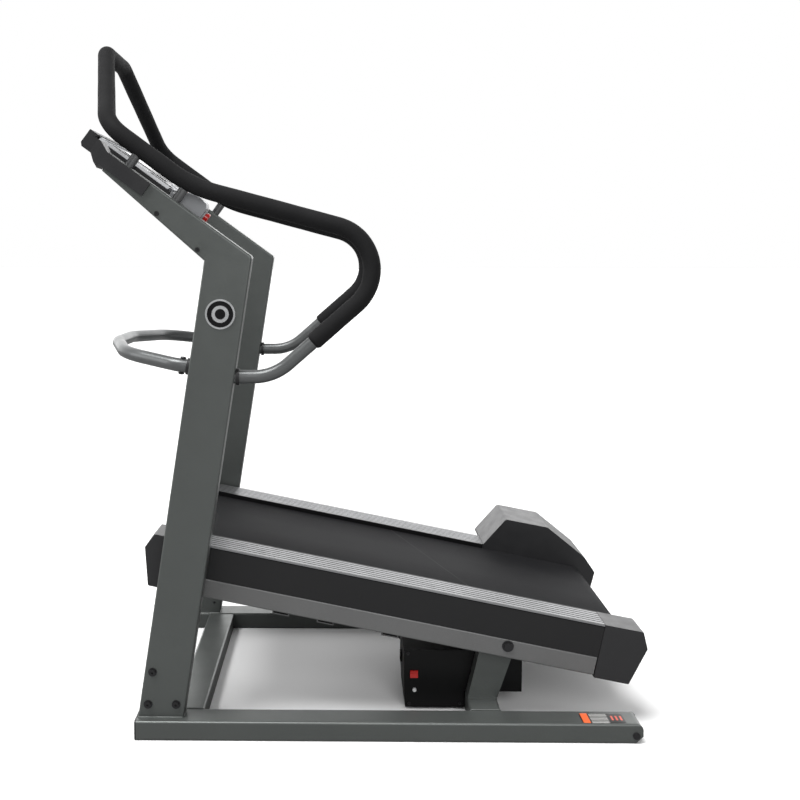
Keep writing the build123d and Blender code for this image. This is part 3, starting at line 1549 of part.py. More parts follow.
with BuildPart() as motor_hood:
    with BuildSketch(deck_plane(hood_outer)) as hood_face:
        add(outline(hood_shape))
        crown = [v for v in hood_face.vertices() if v.Y > foot_rail_top + 5]
        fillet(crown, radius=12)
    extrude(amount=hood_outer - foot_rail_inner)
    with BuildSketch(deck_plane(deck_half)):
        add(outline(hood_tail))
    extrude(amount=foot_rail_width)
    far_face = motor_hood.faces().filter_by(Axis.Y).sort_by(Axis.Y)[-1]
    fillet(far_face.edges(), radius=2.5)
    with BuildSketch(deck_plane(hood_outer - hood_wall)):
        add(outline(hood_shape))
        offset(amount=-hood_wall, kind=Kind.INTERSECTION)
    extrude(amount=hood_outer - hood_wall - deck_half + hood_wall, mode=Mode.SUBTRACT)
    with BuildSketch(deck_plane(deck_half - hood_wall)):
        add(outline(hood_inside))
        offset(amount=-hood_wall, kind=Kind.INTERSECTION)
    extrude(amount=foot_rail_width - 2 * hood_wall, mode=Mode.SUBTRACT)
    # skirts reach down to the running board beside the belt and across the front
    with BuildSketch(deck_plane(foot_rail_inner + hood_wall)):
        with Locations(((hood_front + hood_joint) / 2, (board_top + 0.2 + hood_skirt) / 2)):
            Rectangle(hood_joint - hood_front, hood_skirt - board_top - 0.2)
    extrude(amount=hood_wall)
    with BuildSketch(deck_plane(deck_half - hood_wall - 0.5)):
        with Locations((hood_front + hood_wall / 2, (board_top + 0.2 + hood_skirt + 1) / 2)):
            Rectangle(hood_wall, hood_skirt - board_top + 0.8)
    extrude(amount=foot_rail_width - hood_wall - 0.5)
    with BuildSketch(deck_plane(foot_rail_inner + hood_wall + 1)):
        with Locations((rear_roller_reach, roller_level)):
            Circle(hub_radius + 4)
    extrude(amount=hood_wall + 2, mode=Mode.SUBTRACT)
save(motor_hood, "motor_hood")
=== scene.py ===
"""Looks of the motorised incline treadmill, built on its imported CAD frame.

Lengths are metres in the row frame: +X towards the end where the user steps on, -X towards the
console, -Y the user's left, +Z up, and the floor at Z = 0.
"""

from __future__ import annotations

import json
import logging
import math
from dataclasses import dataclass, field
from enum import Enum

import bpy
import numpy as np
from mathutils import Euler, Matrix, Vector

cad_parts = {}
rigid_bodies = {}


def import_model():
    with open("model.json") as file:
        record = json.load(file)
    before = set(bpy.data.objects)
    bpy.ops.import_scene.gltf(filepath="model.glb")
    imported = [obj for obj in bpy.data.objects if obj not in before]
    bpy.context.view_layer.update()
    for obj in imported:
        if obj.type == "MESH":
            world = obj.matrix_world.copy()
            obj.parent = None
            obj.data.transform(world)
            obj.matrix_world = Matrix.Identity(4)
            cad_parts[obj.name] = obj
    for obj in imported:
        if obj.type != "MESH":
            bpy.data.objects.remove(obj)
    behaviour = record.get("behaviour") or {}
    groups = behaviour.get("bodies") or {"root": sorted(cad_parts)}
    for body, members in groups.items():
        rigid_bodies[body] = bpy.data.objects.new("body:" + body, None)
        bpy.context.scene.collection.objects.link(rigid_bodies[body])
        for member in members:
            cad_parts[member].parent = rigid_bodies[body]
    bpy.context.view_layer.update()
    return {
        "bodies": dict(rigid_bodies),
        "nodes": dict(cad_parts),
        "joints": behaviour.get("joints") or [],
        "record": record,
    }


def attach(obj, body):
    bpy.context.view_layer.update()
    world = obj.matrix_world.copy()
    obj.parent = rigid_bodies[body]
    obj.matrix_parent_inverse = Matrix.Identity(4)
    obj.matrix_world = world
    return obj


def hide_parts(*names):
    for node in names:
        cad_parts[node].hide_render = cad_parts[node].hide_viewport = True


log = logging.getLogger("treadmill")

Colour = tuple[float, float, float]
Socket = bpy.types.NodeSocket
Piece = bpy.types.Object

DUST = (0.42, 0.41, 0.39, 1.0)
PRINT_BLACK = (0.018, 0.018, 0.019, 1.0)
PRINT_PALE = (0.62, 0.62, 0.60, 1.0)
PRINT_RED = (0.62, 0.09, 0.05, 1.0)
PRINT_ORANGE = (0.80, 0.13, 0.03, 1.0)
PANE_GREY = (0.028, 0.034, 0.036, 1.0)
SEAM_GREY = (0.10, 0.10, 0.10, 1.0)

DECK_TILT = math.radians(11.34)
ARM_TILT = math.radians(36.0)
ARM_ROOT = np.array((-0.28505, 1.2158))
DECK_PIVOT = np.array((0.3648, 0.2135))


# ------------------------------------------------------------------ places on the machine
def on_arm(along: float, above: float) -> tuple[float, float]:
    """Work out X and Z of a point on the mast's arm.

    The point lies `along` up the arm's top edge from its root and `above` square to that edge.

    Args:
        along: distance up the arm.
        above: distance off the arm's top edge.

    Returns:
        X and Z.
    """
    c, s = math.cos(ARM_TILT), math.sin(ARM_TILT)
    return (ARM_ROOT[0] - along * c + above * s, ARM_ROOT[1] + along * s + above * c)


# ------------------------------------------------------------------ surfaces from whole arrays
def unit(vectors: np.ndarray) -> np.ndarray:
    """Scale vectors to length one."""
    return vectors / np.linalg.norm(vectors, axis=-1, keepdims=True)


def rounded_path(corners: np.ndarray, radii: np.ndarray, spacing: float) -> np.ndarray:
    """Join straight runs by tangent arcs, and step evenly along the result.

    Each corner is cut back by its radius over the tangent of half the inner angle, and the arc is
    swept about the centre that lies one radius from both runs.

    Args:
        corners: the runs' corner points, one row each, with both ends.
        radii: one radius for each inner corner.
        spacing: distance between neighbouring points.

    Returns:
        Points along the path, one row each.
    """
    legs = [corners[:1]]
    for before, corner, after, radius in zip(corners, corners[1:], corners[2:], radii):
        back, on = unit(before - corner), unit(after - corner)
        half = 0.5 * math.acos(float(np.clip(back @ on, -1.0, 1.0)))
        centre = corner + unit(back + on) * radius / math.sin(half)
        arm = unit(corner + back * radius / math.tan(half) - centre)
        turn = np.linspace(0.0, math.pi - 2.0 * half, 33)[:, None]
        legs.append(centre + radius * (np.cos(turn) * arm - np.sin(turn) * back))
    legs.append(corners[-1:])
    line = np.concatenate(legs)
    reach = np.concatenate(([0.0], np.cumsum(np.linalg.norm(np.diff(line, axis=0), axis=1))))
    steps = np.linspace(0.0, reach[-1], max(2, round(reach[-1] / spacing) + 1))
    return np.stack([np.interp(steps, reach, line[:, k]) for k in range(3)], axis=1)


def carried(path: np.ndarray, across: np.ndarray, up: np.ndarray,
            guide: tuple[float, float, float]) -> np.ndarray:
    """Carry a profile along a path.

    A point of the grid is the path's point plus `across` times the side direction plus `up` times
    the upper direction, where the side direction is the guide made square to the path.

    Args:
        path: points of the path, one row each.
        across: sideways offsets, one row for each point of the path or one for all.
        up: upward offsets, shaped like `across`.
        guide: a direction that the path never runs along.

    Returns:
        The grid of points, path by profile by three.
    """
    ahead = unit(np.gradient(path, axis=0))
    way = np.asarray(guide, float)
    side = unit(way - (ahead @ way)[:, None] * ahead)
    upper = np.cross(ahead, side)
    return path[:, None] + across[..., None] * side[:, None] + up[..., None] * upper[:, None]


def ring_path(centre: np.ndarray, first: np.ndarray, second: np.ndarray, power: float,
              count: int) -> np.ndarray:
    """Walk once round a superellipse.

    A point is the centre plus the first half-axis times cos to the power 2/n and the second times
    sin to the power 2/n, with their signs kept; the walk doesn't repeat its first point.

    Args:
        centre: middle of the ring.
        first: one half-axis.
        second: the other half-axis.
        power: n, 2 for an ellipse and more for squarer corners.
        count: number of points.

    Returns:
        Points round the ring, one row each.
    """
    turn = np.linspace(0.0, 2.0 * math.pi, count, endpoint=False)[:, None]
    c, s = np.cos(turn), np.sin(turn)
    bend = 2.0 / power
    return centre + np.sign(c) * np.abs(c) ** bend * first + np.sign(s) * np.abs(s) ** bend * second


def box_path(low: tuple[float, float], high: tuple[float, float], corner: float,
             spacing: float) -> np.ndarray:
    """Walk once round a rectangle with rounded corners, in two coordinates.

    Args:
        low: its lowest corner.
        high: its highest corner.
        corner: corner radius.
        spacing: distance between points.

    Returns:
        Points round the outline, with the first not repeated.
    """
    (a, b), (c, d) = low, high
    middle = 0.5 * (a + c)
    corners = np.array(((middle, b, 0), (c, b, 0), (c, d, 0), (a, d, 0), (a, b, 0), (middle, b, 0)))
    return rounded_path(corners, np.full(4, corner), spacing)[:-1, :2]


def skin(name: str, grid: np.ndarray, round_first: bool = False, round_second: bool = False,
         capped: bool = False) -> Piece:
    """Make a mesh of a grid of points, with quads between neighbours.

    Args:
        name: the object's name.
        grid: points, first by second by three.
        round_first: the first direction closes on itself.
        round_second: the second direction closes on itself.
        capped: close both ends of the first direction with one face each.

    Returns:
        The object, smooth shaded, with its faces turned outwards where it is closed.
    """
    rows, columns = grid.shape[:2]
    i, j = np.meshgrid(
        np.arange(rows if round_first else rows - 1),
        np.arange(columns if round_second else columns - 1),
        indexing="ij",
    )
    k, m = (i + 1) % rows, (j + 1) % columns
    quads = np.stack([i * columns + j, i * columns + m, k * columns + m, k * columns + j], axis=-1)
    faces = quads.reshape(-1, 4).tolist()
    if capped:
        faces.append(np.arange(columns)[::-1].tolist())
        faces.append(((rows - 1) * columns + np.arange(columns)).tolist())
    points = grid.reshape(-1, 3)
    a, b, c, d = (points[quads.reshape(-1, 4)[:, n]] for n in range(4))
    middle = points.mean(axis=0)
    volume = np.einsum("ij,ij->", a - middle, np.cross(b - middle, c - middle))
    volume += np.einsum("ij,ij->", a - middle, np.cross(c - middle, d - middle))
    if volume < 0.0 and (capped or (round_first and round_second)):
        faces = [face[::-1] for face in faces]
    mesh = bpy.data.meshes.new(name)
    mesh.from_pydata(points.tolist(), [], faces)
    mesh.polygons.foreach_set("use_smooth", np.ones(len(faces), bool))
    mesh.update()
    piece = bpy.data.objects.new(name, mesh)
    bpy.context.scene.collection.objects.link(piece)
    return piece


def joined(name: str, pieces: list[Piece]) -> Piece:
    """Join several new pieces into one mesh under a new name.

    Args:
        name: the joined object's name.
        pieces: the objects, all at the origin.

    Returns:
        The one object.
    """
    counts = np.cumsum([0] + [len(p.data.vertices) for p in pieces])
    points, faces = [], []
    for start, piece in zip(counts, pieces):
        here = np.empty(len(piece.data.vertices) * 3, np.float32)
        piece.data.vertices.foreach_get("co", here)
        points.append(here.reshape(-1, 3))
        faces += [[int(v + start) for v in face.vertices] for face in piece.data.polygons]
    mesh = bpy.data.meshes.new(name)
    mesh.from_pydata(np.concatenate(points).tolist(), [], faces)
    mesh.polygons.foreach_set("use_smooth", np.ones(len(faces), bool))
    mesh.update()
    for piece in pieces:
        bpy.data.meshes.remove(piece.data)
    whole = bpy.data.objects.new(name, mesh)
    bpy.context.scene.collection.objects.link(whole)
    return whole


def pillow(name: str, centre: np.ndarray, first: np.ndarray, second: np.ndarray, rise: float,
           power: float = 4.0) -> Piece:
    """Make a low domed pad on a superellipse outline.

    Rings shrink by the cosine of a quarter turn while they rise by its sine, so the pad has a
    rounded rim and a flat top, and a flat underside closes it.

    Args:
        name: the object's name.
        centre: middle of the pad's underside.
        first: half its length, as a vector.
        second: half its width, as a vector.
        rise: its height.
        power: squareness of the outline.

    Returns:
        The closed object.
    """
    out = unit(np.cross(first, second))
    quarter = np.linspace(0.0, 0.5 * math.pi, 7)
    shrink = np.concatenate((1.0 - 0.12 * (1.0 - np.cos(quarter)), (0.5, 0.02)))
    lift = np.concatenate((rise * np.sin(quarter), (rise, rise)))
    rings = [ring_path(centre + out * h, first * k, second * k, power, 32) for k, h in zip(shrink, lift)]
    return skin(name, np.stack(rings), round_second=True, capped=True)


def weld(name: str, path: np.ndarray, guide: tuple[float, float, float], size: float) -> Piece:
    """Lay a closed weld bead along a path.

    The bead's section is a circle whose radius swells and sinks along the path by an eighth, once
    for each of its overlapping ripples.

    Args:
        name: the object's name.
        path: points round the joint, with the first not repeated.
        guide: a direction that the path never runs along.
        size: mean radius of the bead.

    Returns:
        The closed object.
    """
    loop = np.concatenate((path[-2:], path, path[:2]))
    reach = np.cumsum(np.linalg.norm(np.diff(loop, axis=0, prepend=loop[:1]), axis=1))
    ripples = 2.0 * math.pi * round((reach[-3] - reach[1]) / (1.1 * size)) / (reach[-2] - reach[2])
    radius = size * (1.0 + 0.12 * np.sin(ripples * reach))[:, None]
    turn = np.linspace(0.0, 2.0 * math.pi, 10, endpoint=False)[None]
    grid = carried(loop, radius * np.cos(turn), radius * np.sin(turn), guide)[2:-2]
    return skin(name, grid, round_first=True, round_second=True)


# ------------------------------------------------------------------ node wiring and shared effects
class Wiring:
    """Adds nodes to one node tree and joins them."""

    def __init__(self, tree: bpy.types.NodeTree) -> None:
        """Keep the tree."""
        self.tree = tree

    def put(self, kind: str, sockets: dict | None = None, **settings: object) -> bpy.types.Node:
        """Add a node.

        Args:
            kind: the node's type name.
            sockets: input name or number to a value, or to an output socket to join.
            settings: the node's own properties.

        Returns:
            The node.
        """
        node = self.tree.nodes.new(kind)
        for key, value in settings.items():
            setattr(node, key, value)
        for key, value in (sockets or {}).items():
            if isinstance(value, Socket):
                self.tree.links.new(value, node.inputs[key])
            else:
                node.inputs[key].default_value = value
        return node

    def sum(self, operation: str, *values: Socket | float) -> Socket:
        """Add a Math node.

        Args:
            operation: the Math node's operation.
            values: its inputs in order.

        Returns:
            Its output.
        """
        return self.put("ShaderNodeMath", dict(enumerate(values)), operation=operation).outputs[0]

    def noise(self, where: Socket, scale: Socket | float, detail: float = 3.0, rough: float = 0.5) -> Socket:
        """Add a noise texture and return its factor."""
        sockets = {"Vector": where, "Scale": scale, "Detail": detail, "Roughness": rough}
        return self.put("ShaderNodeTexNoise", sockets).outputs[0]

    def span(self, value: Socket, low: float, high: float, to_low: Socket | float,
             to_high: Socket | float) -> Socket:
        """Add a Map Range node from low..high to the new range, clamped."""
        sockets = {0: value, 1: low, 2: high, 3: to_low, 4: to_high}
        return self.put("ShaderNodeMapRange", sockets).outputs[0]

    def blend(self, share: Socket | float, first: Socket | tuple, second: Socket | tuple) -> Socket:
        """Mix two colours by a share."""
        sockets = {0: share, 6: first, 7: second}
        return self.put("ShaderNodeMix", sockets, data_type="RGBA").outputs[2]

    def mapped(self, where: Socket, turn: tuple, stretch: tuple) -> Socket:
        """Turn coordinates, and then stretch them along their new axes."""
        turned_place = self.put("ShaderNodeMapping", {"Vector": where, "Rotation": turn}).outputs[0]
        return self.put("ShaderNodeMapping", {"Vector": turned_place, "Scale": stretch}).outputs[0]


class Effects:
    """The shader node groups that several finishes share, each built on first use."""

    def __init__(self) -> None:
        """Start with no group."""
        self.groups: dict[str, bpy.types.NodeTree] = {}

    def start(self, name: str, inputs: dict[str, str], outputs: dict[str, str]) -> tuple[Wiring, dict, dict]:
        """Begin a node group.

        Args:
            name: the group's name.
            inputs: input name to socket type.
            outputs: output name to socket type.

        Returns:
            The wiring, the group's input sockets by name, and its output sockets by name.
        """
        tree = bpy.data.node_groups.new(name, "ShaderNodeTree")
        for side, sockets in (("INPUT", inputs), ("OUTPUT", outputs)):
            for socket, kind in sockets.items():
                tree.interface.new_socket(name=socket, in_out=side, socket_type=kind)
        self.groups[name] = tree
        wires = Wiring(tree)
        into = wires.put("NodeGroupInput").outputs
        out = wires.put("NodeGroupOutput").inputs
        return wires, {n: into[n] for n in inputs}, {n: out[n] for n in outputs}

    def tone_drift(self) -> bpy.types.NodeTree:
        """Build the group that lets a colour wander: colour times one plus or minus Amount, by slow noise."""
        name = "Tone Drift"
        if name not in self.groups:
            wires, into, out = self.start(
                name,
                {"Vector": "NodeSocketVector", "Colour": "NodeSocketColor",
                 "Amount": "NodeSocketFloat", "Scale": "NodeSocketFloat"},
                {"Colour": "NodeSocketColor"},
            )
            slow = wires.noise(into["Vector"], into["Scale"], 4.0)
            swing = wires.sum("MULTIPLY", wires.sum("SUBTRACT", slow, 0.5), into["Amount"])
            gain = wires.sum("MULTIPLY_ADD", swing, 2.0, 1.0)
            scaled = wires.put("ShaderNodeVectorMath", {0: into["Colour"], "Scale": gain}, operation="SCALE")
            wires.tree.links.new(scaled.outputs[0], out["Colour"])
        return self.groups[name]

    def dust_veil(self) -> bpy.types.NodeTree:
        """Build the group that lays dust on upward faces: a pale mix by the normal's rise times noise."""
        name = "Dust Veil"
        if name not in self.groups:
            wires, into, out = self.start(
                name,
                {"Vector": "NodeSocketVector", "Colour": "NodeSocketColor",
                 "Roughness": "NodeSocketFloat", "Amount": "NodeSocketFloat"},
                {"Colour": "NodeSocketColor", "Roughness": "NodeSocketFloat"},
            )
            normal = wires.put("ShaderNodeNewGeometry").outputs["Normal"]
            rise = wires.put("ShaderNodeSeparateXYZ", {0: normal}).outputs[2]
            level = wires.sum("POWER", wires.sum("MAXIMUM", rise, 0.0), 3.0)
            patchy = wires.span(wires.noise(into["Vector"], 9.0, 6.0, 0.6), 0.35, 0.7, 0.25, 1.0)
            share = wires.sum("MULTIPLY", wires.sum("MULTIPLY", level, patchy), into["Amount"])
            veiled = wires.blend(share, into["Colour"], DUST)
            rougher = wires.sum("MULTIPLY_ADD", share, 0.5, into["Roughness"])
            wires.tree.links.new(veiled, out["Colour"])
            wires.tree.links.new(rougher, out["Roughness"])
        return self.groups[name]

    def fine_grain(self) -> bpy.types.NodeTree:
        """Build the group of moulded or cast grain: cell distance mixed with fine noise, from 0 to 1."""
        name = "Fine Grain"
        if name not in self.groups:
            wires, into, out = self.start(
                name,
                {"Vector": "NodeSocketVector", "Scale": "NodeSocketFloat", "Cells": "NodeSocketFloat"},
                {"Grain": "NodeSocketFloat"},
            )
            cell = wires.put("ShaderNodeTexVoronoi", {"Vector": into["Vector"], "Scale": into["Scale"]})
            fine = wires.noise(into["Vector"], into["Scale"], 2.0)
            less = wires.sum("SUBTRACT", 1.0, into["Cells"])
            both = wires.sum("MULTIPLY_ADD", cell.outputs["Distance"], into["Cells"],
                             wires.sum("MULTIPLY", fine, less))
            wires.tree.links.new(both, out["Grain"])
        return self.groups[name]


class Direction(Enum):
    """Way that a brushed or drawn finish runs."""

    ALONG_DECK = "along_deck"
    ROUND_AXLE = "round_axle"
    UPRIGHT = "upright"


@dataclass(frozen=True)
class Finish:
    """What every finish shares: a colour that wanders, a little dust, fine relief and a gloss."""

    name: str
    colour: Colour
    roughness: float = 0.5
    metallic: float = 0.0
    specular: float = 0.5
    drift: float = 0.10
    dust: float = 0.10
    grain: float = 900.0
    relief: float = 0.00006
    cells: float = 0.3
    coat: float = 0.0
    sheen: float = 0.0

    def material(self, effects: Effects) -> bpy.types.Material:
        """Build the finish as a node material.

        Args:
            effects: the shared node groups.

        Returns:
            The material.
        """
        made = bpy.data.materials.new(self.name)
        made.use_nodes = True
        made.node_tree.nodes.clear()
        wires = Wiring(made.node_tree)
        where = wires.put("ShaderNodeTexCoord").outputs["Object"]
        colour = self.tint(wires, effects, where)
        dusty = wires.put(
            "ShaderNodeGroup",
            node_tree=effects.dust_veil(),
        )
        for key, value in (("Vector", where), ("Colour", colour)):
            wires.tree.links.new(value, dusty.inputs[key])
        dusty.inputs["Amount"].default_value = self.dust
        wires.tree.links.new(self.gloss(wires, effects, where), dusty.inputs["Roughness"])
        height = self.surface(wires, effects, where)
        bump = wires.put("ShaderNodeBump", {"Height": height, "Strength": 1.0, "Distance": self.relief})
        shader = wires.put("ShaderNodeBsdfPrincipled", {
            "Base Color": dusty.outputs["Colour"],
            "Roughness": dusty.outputs["Roughness"],
            "Metallic": self.metallic,
            "Specular IOR Level": self.specular,
            "Coat Weight": self.coat,
            "Coat Roughness": 0.18,
            "Sheen Weight": self.sheen,
            "Sheen Roughness": 0.6,
            "Normal": bump.outputs[0],
        })
        wires.put("ShaderNodeOutputMaterial", {"Surface": shader.outputs[0]})
        return made

    def tint(self, wires: Wiring, effects: Effects, where: Socket) -> Socket:
        """Work out the colour before dust: the finish's own, let wander.

        Args:
            wires: the material's wiring.
            effects: the shared node groups.
            where: the piece's own coordinates.

        Returns:
            The colour.
        """
        group = wires.put("ShaderNodeGroup", node_tree=effects.tone_drift())
        wires.tree.links.new(where, group.inputs["Vector"])
        group.inputs["Colour"].default_value = (*self.colour, 1.0)
        group.inputs["Amount"].default_value = self.drift
        group.inputs["Scale"].default_value = 7.0
        return group.outputs["Colour"]

    def gloss(self, wires: Wiring, effects: Effects, where: Socket) -> Socket:
        """Return the roughness before dust: the finish's own, patchy by a few hundredths."""
        patchy = wires.noise(where, 30.0, 4.0)
        return wires.span(patchy, 0.3, 0.7, self.roughness - 0.04, self.roughness + 0.04)

    def surface(self, wires: Wiring, effects: Effects, where: Socket) -> Socket:
        """Return the height for the relief: the shared fine grain."""
        group = wires.put("ShaderNodeGroup", node_tree=effects.fine_grain())
        wires.tree.links.new(where, group.inputs["Vector"])
        group.inputs["Scale"].default_value = self.grain
        group.inputs["Cells"].default_value = self.cells
        return group.outputs["Grain"]


@dataclass(frozen=True)
class PowderCoat(Finish):
    """Stoved powder on steel, with metal flakes."""

    flake: float = 0.35

    def tint(self, wires: Wiring, effects: Effects, where: Socket) -> Socket:
        """Lighten the wandering colour at the flakes."""
        base = super().tint(wires, effects, where)
        specks = wires.span(wires.noise(where, 2400.0, 1.0), 0.55, 0.75, 0.0, self.flake)
        bright = tuple(min(1.0, 3.0 * c + 0.05) for c in self.colour)
        return wires.blend(specks, base, (*bright, 1.0))


@dataclass(frozen=True)
class Brushed(Finish):
    """Bare metal with fine lines that run one way."""

    way: Direction = Direction.ALONG_DECK

    def lines(self, wires: Wiring, where: Socket) -> Socket:
        """Return noise stretched along the finish's direction."""
        if self.way is Direction.ALONG_DECK:
            bent = wires.mapped(where, (0.0, -DECK_TILT, 0.0), (3.0, 900.0, 900.0))
        elif self.way is Direction.UPRIGHT:
            bent = wires.mapped(where, (0.0, 0.0, 0.0), (900.0, 900.0, 4.0))
        else:
            bent = wires.mapped(where, (0.0, 0.0, 0.0), (6.0, 1500.0, 6.0))
        return wires.noise(bent, 1.0, 3.0, 0.6)

    def tint(self, wires: Wiring, effects: Effects, where: Socket) -> Socket:
        """Vary the colour along the lines."""
        base = super().tint(wires, effects, where)
        dark = tuple(0.72 * c for c in self.colour)
        return wires.blend(wires.span(self.lines(wires, where), 0.3, 0.7, 0.0, 1.0), (*dark, 1.0), base)

    def surface(self, wires: Wiring, effects: Effects, where: Socket) -> Socket:
        """Use the lines themselves as the relief."""
        return self.lines(wires, where)


@dataclass(frozen=True)
class StepRail(Brushed):
    """Foot rail: brushed ridges between black grooves, a black inner lip and a black outer skirt."""

    inner: float = 0.2485
    first_groove: float = 0.25933
    pitch: float = 0.01633
    half_groove: float = 0.0024
    skirt: float = 0.1005
    black: Colour = (0.012, 0.012, 0.013)

    def tint(self, wires: Wiring, effects: Effects, where: Socket) -> Socket:
        """Blacken the grooves, by the remainder of the distance across, and both edges."""
        base = super().tint(wires, effects, where)
        side = wires.sum("ABSOLUTE", wires.put("ShaderNodeSeparateXYZ", {0: where}).outputs[1])
        flat = wires.mapped(where, (0.0, -DECK_TILT, 0.0), (1.0, 1.0, 1.0))
        level = wires.put("ShaderNodeSeparateXYZ", {0: flat}).outputs[2]
        pivot = DECK_PIVOT[0] * math.sin(DECK_TILT) + DECK_PIVOT[1] * math.cos(DECK_TILT)
        start = self.first_groove - 0.5 * self.pitch
        across = wires.sum("FLOORED_MODULO", wires.sum("SUBTRACT", side, start), self.pitch)
        groove = wires.sum("COMPARE", across, 0.5 * self.pitch, self.half_groove)
        lip = wires.sum("LESS_THAN", side, self.inner)
        low = wires.sum("LESS_THAN", level, pivot + self.skirt)
        black = wires.sum("MAXIMUM", wires.sum("MAXIMUM", groove, lip), low)
        return wires.blend(black, base, (*self.black, 1.0))


@dataclass(frozen=True)
class BeltCloth(Finish):
    """Running belt: a pressed diamond grain with painted shade in its hollows, its middle polished by feet,
    and one slanted splice.
    """

    pitch: float = 0.0032
    half_width: float = 0.237
    splice: float = 0.12

    def frame(self, wires: Wiring, where: Socket) -> tuple[Socket, Socket]:
        """Return the distances along and across the deck."""
        flat = wires.mapped(where, (0.0, -DECK_TILT, 0.0), (1.0, 1.0, 1.0))
        parts = wires.put("ShaderNodeSeparateXYZ", {0: flat}).outputs
        return parts[0], parts[1]

    def diamonds(self, wires: Wiring, where: Socket) -> Socket:
        """Return sine of one slanted distance times sine of the other, made positive."""
        along, across = self.frame(wires, where)
        k = math.pi / self.pitch
        first = wires.sum("SINE", wires.sum("MULTIPLY", wires.sum("ADD", along, across), k))
        second = wires.sum("SINE", wires.sum("MULTIPLY", wires.sum("SUBTRACT", along, across), k))
        return wires.sum("ABSOLUTE", wires.sum("MULTIPLY", first, second))

    def tint(self, wires: Wiring, effects: Effects, where: Socket) -> Socket:
        """Paint shade into the grain's hollows and lighten the splice line."""
        base = super().tint(wires, effects, where)
        # painted shade: the diamond hollows are darkened in colour to stand in for their shadow, and the
        # grain mixed below carries it
        hollow_shade_colour = tuple(0.55 * c for c in self.colour)
        pressed = wires.blend(self.diamonds(wires, where), (*hollow_shade_colour, 1.0), base)
        along, across = self.frame(wires, where)
        slant = wires.sum("MULTIPLY_ADD", across, 0.45, along)
        seam = wires.sum("COMPARE", slant, self.splice, 0.0009)
        return wires.blend(wires.sum("MULTIPLY", seam, 0.35), pressed, SEAM_GREY)

    def gloss(self, wires: Wiring, effects: Effects, where: Socket) -> Socket:
        """Polish the middle of the belt: the roughness rises from the middle to the edges."""
        across = wires.sum("ABSOLUTE", self.frame(wires, where)[1])
        return wires.span(across, 0.06, self.half_width, self.roughness - 0.10, self.roughness + 0.05)

    def surface(self, wires: Wiring, effects: Effects, where: Socket) -> Socket:
        """Use the diamonds as the relief."""
        return self.diamonds(wires, where)


@dataclass(frozen=True)
class Lens(Finish):
    """Dark display window with faint read-out panes behind it."""

    def tint(self, wires: Wiring, effects: Effects, where: Socket) -> Socket:
        """Lift the black a little where the panes are: a row of wide cells across the console."""
        base = super().tint(wires, effects, where)
        flat = wires.mapped(where, (0.0, -ARM_TILT, 0.0), (1.0, 1.0, 1.0))
        parts = wires.put("ShaderNodeSeparateXYZ", {0: flat}).outputs
        cell = wires.sum("PINGPONG", wires.sum("ADD", parts[1], 0.0275), 0.0275)
        inside = wires.sum("GREATER_THAN", cell, 0.003)
        narrow = wires.sum("LESS_THAN", wires.sum("ABSOLUTE", parts[1]), 0.137)
        pane = wires.sum("MULTIPLY", wires.sum("MULTIPLY", inside, narrow), 0.5)
        return wires.blend(pane, base, PANE_GREY)


@dataclass(frozen=True)
class Badge(Finish):
    """Dark disc with a pale rim, a small pale ring and turned circles."""

    centre: tuple[float, float] = (-0.364, 1.075)
    radius: float = 0.037

    def distance(self, wires: Wiring, where: Socket) -> Socket:
        """Return the distance from the disc's middle."""
        middle = (self.centre[0], 0.0, self.centre[1])
        moved = wires.put("ShaderNodeVectorMath", {0: where, 1: middle}, operation="SUBTRACT")
        flat = wires.put("ShaderNodeVectorMath", {0: moved.outputs[0], 1: (1.0, 0.0, 1.0)},
                         operation="MULTIPLY")
        return wires.put("ShaderNodeVectorMath", {0: flat.outputs[0]}, operation="LENGTH").outputs["Value"]

    def tint(self, wires: Wiring, effects: Effects, where: Socket) -> Socket:
        """Keep the pale metal at the rim and at one inner ring, and blacken the rest."""
        base = super().tint(wires, effects, where)
        away = self.distance(wires, where)
        rim = wires.sum("COMPARE", away, 0.95 * self.radius, 0.07 * self.radius)
        ring = wires.sum("COMPARE", away, 0.46 * self.radius, 0.11 * self.radius)
        return wires.blend(wires.sum("MAXIMUM", rim, ring), PRINT_BLACK, base)

    def surface(self, wires: Wiring, effects: Effects, where: Socket) -> Socket:
        """Turn fine circles into the face: sine of the distance."""
        return wires.sum("SINE", wires.sum("MULTIPLY", self.distance(wires, where), 9000.0))


@dataclass(frozen=True)
class NoticeLabel(Finish):
    """Printed notice: a warm block and rows of pale bars on black, with no lettering."""

    low: tuple[float, float] = (0.0, 0.0)
    high: tuple[float, float] = (1.0, 1.0)

    def tint(self, wires: Wiring, effects: Effects, where: Socket) -> Socket:
        """Lay out the print by the place across and along the label, each from 0 to 1."""
        parts = wires.put("ShaderNodeSeparateXYZ", {0: where}).outputs
        along = wires.span(parts[0], self.low[0], self.high[0], 0.0, 1.0)
        across = wires.span(parts[1], self.low[1], self.high[1], 0.0, 1.0)
        warm = wires.sum("COMPARE", along, 0.11, 0.08)
        rows = wires.sum("LESS_THAN", wires.sum("FRACT", wires.sum("MULTIPLY", across, 7.0)), 0.42)
        words = wires.sum("COMPARE", along, 0.42, 0.20)
        ragged = wires.sum("LESS_THAN", wires.sum("FRACT", wires.sum("MULTIPLY", along, 31.0)), 0.8)
        bars = wires.sum("MULTIPLY", wires.sum("MULTIPLY", rows, words), ragged)
        sign = wires.sum("MULTIPLY", wires.sum("COMPARE", along, 0.82, 0.14),
                         wires.sum("LESS_THAN", wires.sum("FRACT", wires.sum("MULTIPLY", along, 10.0)), 0.45))
        sign = wires.sum("MULTIPLY", sign, wires.sum("COMPARE", across, 0.5, 0.22))
        black = (*self.colour, 1.0)
        print_one = wires.blend(bars, black, PRINT_PALE)
        print_two = wires.blend(sign, print_one, PRINT_RED)
        return wires.blend(warm, print_two, PRINT_ORANGE)


